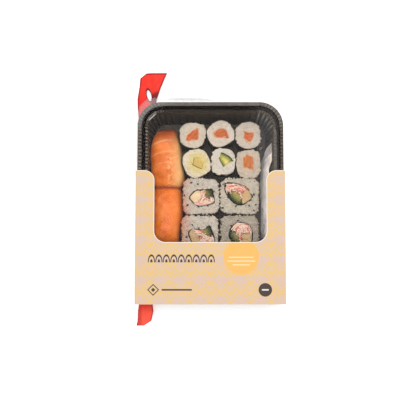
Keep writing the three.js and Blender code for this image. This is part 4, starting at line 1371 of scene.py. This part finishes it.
# Each thin roll: its filling, the tint of its rice, the tint of its filling, how far its foot is set back
# and the outline of the filling.
ROLLS = (
    ("salmon", (0.91, 0.91, 0.9), (1.04, 0.94, 0.7), 1.6, (
        (-12.1, 71.3), (-11.3, 68.3), (-11.4, 64.7), (-10.8, 60.2), (-12.2, 59.1), (-15.2, 59.3),
        (-18.8, 59.1), (-21.8, 58.1), (-24.0, 58.5), (-23.3, 61.1), (-22.4, 64.1), (-21.0, 65.9),
        (-18.8, 67.7), (-15.8, 69.5),
    )),
    ("salmon", (0.96, 0.95, 1.0), (0.93, 0.92, 1.0), 2.0, (
        (3.0, 68.9), (4.5, 67.9), (6.3, 69.5), (9.3, 70.7), (12.5, 71.1), (14.7, 69.9), (16.3, 67.7),
        (16.7, 64.7), (18.2, 61.3), (15.9, 60.7), (13.5, 62.2), (10.5, 61.7), (6.9, 61.9), (3.9, 62.9),
        (3.1, 65.3),
    )),
    ("salmon", (0.84, 0.84, 0.87), (1.04, 1.02, 0.9), 1.8, (
        (31.4, 68.9), (33.8, 67.7), (36.2, 66.7), (39.2, 67.1), (41.8, 67.5), (41.6, 64.7), (41.2, 62.3),
        (39.8, 59.5), (37.1, 57.2), (34.8, 58.7), (32.8, 61.1), (31.4, 62.3), (32.6, 64.7),
    )),
    ("omelette", (1.06, 1.04, 0.98), (1, 1, 1), 0.0, (
        (-15.6, 42.6), (-12.2, 43.0), (-8.6, 42.1), (-6.0, 41.1), (-6.6, 37.6), (-7.4, 34.6), (-8.3, 31.3),
        (-12.2, 33.0), (-17.2, 35.7), (-16.4, 39.0),
    )),
    ("cucumber", (0.94, 0.97, 1.03), (1, 1, 1), 0.0, (
        (9.9, 48.2), (13.4, 46.6), (17.6, 44.5), (20.0, 42.1), (22.2, 39.1), (19.2, 38.5), (17.0, 37.3),
        (14.6, 35.8), (12.4, 33.3), (10.8, 36.4), (9.1, 39.4), (8.1, 42.4), (9.6, 44.2),
    )),
    ("salmon", (0.82, 0.78, 0.75), (0.98, 1.36, 1.3), 0.0, (
        (35.5, 46.4), (37.9, 44.2), (40.9, 43.8), (41.4, 40.0), (41.1, 35.2), (41.6, 30.7), (39.7, 30.2),
        (37.5, 32.8), (34.9, 32.6), (31.1, 32.4), (31.1, 37.0), (31.0, 42.4), (33.1, 44.2),
    )),
)


# The colour that the rice takes on beside each filling, and how far from it.
HALOS = {
    "salmon": ((216, 178, 146), 2.2),
    "omelette": ((208, 188, 112), 9.0),
    "cucumber": ((196, 194, 158), 2.2),
}


def cube_paint(look, tint, seed):
    """Salmon cut across: soft streaks and darker patches."""
    rng = np.random.default_rng(seed)
    angle = rng.uniform(0, math.pi)

    def painter(points):
        across = points[:, 0] * math.cos(angle) + points[:, 1] * math.sin(angle)
        streak = 0.5 + 0.5 * np.sin(across * 2.0 + 1.5 * ripple(points, 4, seed))
        base = blend(np.array(look.cube) * tint, look.fat, 0.13 * streak)
        return base * (1 + 0.09 * ripple(points, 2.5, seed + 1))[:, None]

    return painter


def cucumber_paint(look, flesh_colour, heart, depth_of, skin=0.75):
    """Flesh, paler at its heart and greener out to the dark skin. A rule gives how deep points lie."""

    def painter(points):
        depth = depth_of(points)
        flesh = blend(flesh_colour, heart, smooth(depth, 2.2, 6.0))
        green = np.array(flesh_colour) * (0.5, 0.72, 0.5)
        green = blend(green, flesh, smooth(depth, skin + 0.3, skin + 1.9))
        base = blend(look.skin, green, smooth(depth, skin, skin + 0.7))
        return base * (1 + 0.06 * ripple(points, 1.6, 8))[:, None]

    return painter


def layered_paint(look, outline):
    """Rolled omelette: soft layers across it, darker along its left and near sides, with a painted
    highlight towards its far right.
    """
    darker_edge = outline[-4:] + outline[:1]

    def painter(points):
        layer = 0.5 + 0.5 * np.sin((points[:, 0] + 0.25 * points[:, 1]) * 2.3 + 0.8 * ripple(points, 3, 4))
        base = blend(look.omelette, linear(176, 146, 66), 0.55 * layer)
        # A painted highlight towards the far right.
        base = blend(base, linear(226, 208, 140), 0.7 * smooth(points[:, 0] + points[:, 1], 29, 35))
        return blend(linear(112, 90, 34), base, smooth(line_distance(points, darker_edge), 0.15, 0.9))

    return painter


def plain_paint(base, edge, node, seed, reach=1.2):
    """One colour that turns to another along the sides."""
    low, high = limits(node)

    def painter(points):
        inward = np.minimum(points - low, high - points)[:, :2].min(1)
        share = 1 - smooth(inward, 0.0, reach)
        return blend(base, edge, share * 0.6) * (1 + 0.05 * ripple(points, 2.2, seed))[:, None]

    return painter


class SUSHI_OT_maki(Operator):
    """Adds the six thin rolls: seaweed, rice and one filling each"""

    bl_idname = "sushi.maki"
    bl_label = "Thin rolls"

    def execute(self, context):
        look, rice = looks().filling, looks().rice
        cooked, fish = food_finish("cooked_rice"), food_finish("salmon_cut")
        soft, egg = food_finish("cut_vegetable"), food_finish("cooked_egg")
        for index, (filling, tint, hue, lean, outline) in enumerate(ROLLS):
            name = f"maki_{index + 1}"
            node = f"{name}_{filling}"
            screen, reach = HALOS[filling]
            halo = linear(*screen)
            base, walls = np.array(rice.warm) * tint, [f"{name}_nori", node]
            rice_piece(
                f"{name}_rice", rice, base, walls, index, NO_SIDES, cooked, (halo, tree_of(node), reach),
                over=0.95, hole=outline, lean=lean,
            )
            if filling == "salmon":
                painter = cube_paint(look, hue, index + 5)
                filling_piece(node, fish, painter, index, outline, lean, halo)
            elif filling == "cucumber":
                arc, cut = outline[:5], outline[8:12]

                def depth_of(points):
                    return np.minimum(line_distance(points, arc), line_distance(points, cut) * 1.4 + 0.5)

                painter = cucumber_paint(look, look.cucumber, linear(208, 190, 104), depth_of, 0.85)
                filling_piece(node, soft, painter, 3, outline, lean, rough=0.03)
            else:
                painter = layered_paint(look, outline)
                filling_piece(node, egg, painter, 4, outline, lean, rough=0.05)
        return {"FINISHED"}


class SUSHI_OT_crumbs(Operator):
    """Adds a few loose grains of rice on the tray's floor between the pieces"""

    bl_idname = "sushi.crumbs"
    bl_label = "Loose rice"

    def execute(self, context):
        rice = looks().rice
        rng = np.random.default_rng(7)
        foods = [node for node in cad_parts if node.startswith(("maki", "uramaki", "nigiri", "sauce"))]
        trees = tree_of(*foods)
        floor = limits("maki_1_nori")[0][2]
        length, width = rice.length / MM, rice.width / MM
        tries, wanted = 900, 9
        x, y = rng.uniform(-50, 50, tries), rng.uniform(-78, 78, tries)
        places = np.column_stack([x, y, np.full(tries, floor)])
        free = distance(trees, places + (0, 0, 1)) > 0.55 * length
        places = places[free][:wanted] + (0, 0, 0.42 * width)
        out = np.tile((0.0, 0.0, 1.0), (len(places), 1))
        template = spindle()
        sizes = grain_sizes(len(places), length, width, rng)
        points, faces = scatter(template, places, out, sizes, rng, tilt=0.02)
        shades = np.array(rice.warm) * rng.uniform(0.6, 0.9, (len(places), 1))
        cooked = bpy.data.materials["cooked_rice"]
        add_piece("loose_rice", points, faces, cooked, (), per_grain(shades, template))
        return {"FINISHED"}


# Each inside-out roll: the tint of its rice, how pale its cucumber is and how much redder its surimi is.
# The sleeve hides the last two. The darker rice of the last three is painted shade from the sleeve.
URAMAKI = (
    ((1, 1, 1), 0.72, 0), ((0.94, 0.94, 0.88), 1.25, 0.24), ((1, 1, 1), 1, 0), ((0.7, 0.68, 0.63), 1, 0),
    ((0.7, 0.68, 0.63), 1, 0), ((0.7, 0.68, 0.63), 1, 0),
)
SEEN_ROLLS = 4
GRAIN_BAND = 12.0  # how far down the sides of a roll there are grains
# Length, width and height of the surimi's threads and of the sesame, and the gap between threads.
THREAD_SIZE, SEED_SIZE, THREAD_GAP = np.array([5.2, 1.0, 0.75]), np.array([2.5, 1.5, 0.85]), 1.15
PALE_THREADS, PINK_THREADS = 0.7, 0.92  # the share that is pale, and the share that is pale or pink


def facing_up(height):
    """A rule that holds on faces that look up and lie near a height."""
    return lambda places, ways: (ways[:, 2] > 0.6) & (places[:, 2] > height - 2)


class SUSHI_OT_uramaki(Operator):
    """Adds the inside-out rolls with their fillings, and the black sesame between them"""

    bl_idname = "sushi.uramaki"
    bl_label = "Inside-out rolls"

    def execute(self, context):
        look, rice = looks().filling, looks().rice
        cooked = bpy.data.materials["cooked_rice"]
        soft = bpy.data.materials["cut_vegetable"]
        pulp, crab = food_finish("avocado_flesh"), food_finish("surimi_threads")
        seeds = food_finish("sesame_black")
        template, thread = spindle(), spindle(5, 3, 0.45)
        salmon = tree_of("nigiri_1_salmon", "nigiri_2_salmon")
        seed_parts = []
        for index, (tint, pale, rosy) in enumerate(URAMAKI):
            name = f"uramaki_{index + 1}"
            parts = [f"{name}_{part}" for part in ("nori", "cucumber", "avocado", "surimi")]
            top = limits(f"{name}_rice")[1][2]
            base = np.array(rice.cool) * tint
            # Painted reflection: the rolls beside the salmon are tinted with its colour as its light falls
            # on them.
            stain_and_reflection = (linear(192, 114, 76), salmon, 17.0) if index % 2 == 0 else None
            rice_piece(
                f"{name}_rice", rice, base, parts[:1], 20 + index, top - GRAIN_BAND, cooked, stain_and_reflection,
                power=6.5, over=0.35,
            )
            middle = sum(limits(parts[0])) / 2

            cucumber = sum(limits(parts[1])) / 2 - middle
            toward = math.atan2(cucumber[1], cucumber[0])
            voxel = 0.45 if index < SEEN_ROLLS else 0.8
            side = tree_of(parts[1], facing=np.array([math.cos(toward), math.sin(toward), 0.0]))
            flesh, heart = (np.array(part) * pale for part in (look.peel, linear(134, 122, 62)))

            def depth_of(points):
                return distance(side, points)

            painter = cucumber_paint(look, flesh, heart, depth_of, 1.3)
            filling_piece(parts[1], soft, painter, index, voxel=voxel, rough=0.08)
            shade = look.avocado if index else blend(look.avocado, linear(222, 192, 152), 0.8)
            painter = plain_paint(shade, linear(176, 150, 84), parts[2], index + 9)
            filling_piece(parts[2], pulp, painter, index + 9, voxel=voxel)

            rng = np.random.default_rng(80 + index)
            points, out, faces = remeshed(parts[3], 0.7)
            points = points + out * (0.25 * ripple(points, 1.2, index + 70) - 0.2)[:, None]
            core = blend(look.surimi, look.red, 0.12 + rosy + 0.2 * ripple(points, 2.5, index + 71))
            places, ways = spread(parts[3], THREAD_GAP, facing_up(limits(parts[3])[1][2]), rng)
            places = places + ways * rng.uniform(-0.1, 0.5, (len(places), 1))
            sizes = THREAD_SIZE * rng.uniform(0.7, 1.2, (len(places), 3))
            walls = tree_of(parts[0])
            thread_points, thread_faces = scatter(thread, places, ways, sizes, rng, walls, 3.2, 0.12)
            kind = rng.random(len(places))[:, None]
            hues = np.where(kind < PINK_THREADS - rosy, linear(232, 170, 146), look.red)
            hues = np.where(kind < PALE_THREADS - rosy, look.surimi, hues)
            threads = thread_points, thread_faces, per_grain(hues, thread)
            points, faces, paint = join((points, faces, core * 0.9), threads)
            add_piece(f"{name}_surimi_threads", points, faces, crab, [parts[3]], paint)

            def seam(where, way):
                return (np.abs(way[:, 2]) < 0.6) & (where[:, 2] > top - 4.5) & outwards(where, way, middle)

            # Sesame lies thick in the seams between the rolls and here and there on top.
            for rule, share, gap in ((seam, 0.95, 2.5), (facing_up(top), 0.3, 5.0)):
                places, ways = spread(f"{name}_rice", gap, rule, rng)
                kept = rng.random(len(places)) < share
                places, ways = places[kept] + ways[kept] * 0.55, ways[kept]
                sizes = SEED_SIZE * rng.uniform(0.7, 1.15, (len(places), 3))
                seed_points, seed_faces = scatter(template, places, ways, sizes, rng, tilt=0.2)
                shades = np.array(rice.seed) * rng.uniform(0.6, 2.2, (len(places), 1))
                seed_parts.append((seed_points, seed_faces, per_grain(shades, template)))
        points, faces, paint = join(*seed_parts)
        add_piece("black_sesame", points, faces, seeds, (), paint)
        return {"FINISHED"}


class SUSHI_OT_seaweed(Operator):
    """Gives the nori sheets round the rolls their dark, finely pitted finish"""

    bl_idname = "sushi.seaweed"
    bl_label = "Seaweed"

    def execute(self, context):
        finish = Finish("nori_sheet", {"Specular IOR Level": 0.3})
        fibres = finish.noise(0.9, 4.0, (1.0, 1.0, 2.5))
        pits = finish.cells(1.4)
        shade = 0.55 + fibres * 0.9
        base = finish.tinted(looks().rice.seaweed, shade)
        sheet = finish.done(fibres + pits * 0.6, 0.12, Base_Color=base, Roughness=0.55 + fibres * 0.3)
        dress(sheet, *[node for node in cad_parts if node.endswith("_nori")])
        return {"FINISHED"}


OPERATORS = (
    SUSHI_OT_stage, SUSHI_OT_tray, SUSHI_OT_film, SUSHI_OT_sleeve, SUSHI_OT_chopsticks, SUSHI_OT_sachet,
    SUSHI_OT_maki, SUSHI_OT_nigiri, SUSHI_OT_uramaki, SUSHI_OT_seaweed, SUSHI_OT_crumbs,
)


class SUSHI_PT_panel(Panel):
    """Lists the pieces of the sushi tray and their sizes and colours"""

    bl_idname = "SUSHI_PT_panel"
    bl_label = "Sushi tray"
    bl_space_type = "VIEW_3D"
    bl_region_type = "UI"
    bl_category = "Sushi"

    def draw(self, context):
        for group in GROUPS:
            part = getattr(context.scene.sushi_looks, group)
            box = self.layout.box()
            box.label(text=group.capitalize())
            for name in GROUPS[group].__annotations__:
                box.prop(part, name)
        for operator in OPERATORS:
            self.layout.operator(operator.bl_idname)


CLASSES = (*GROUPS.values(), SushiLooks, *OPERATORS, SUSHI_PT_panel)


def register():
    for cls in CLASSES:
        bpy.utils.register_class(cls)
    bpy.types.Scene.sushi_looks = PointerProperty(type=SushiLooks)


def unregister():
    del bpy.types.Scene.sushi_looks
    for cls in reversed(CLASSES):
        bpy.utils.unregister_class(cls)


def main():
    register()
    for operator in OPERATORS:
        area, name = operator.bl_idname.split(".")
        getattr(getattr(bpy.ops, area), name)()


if __name__ == "__main__":
    main()
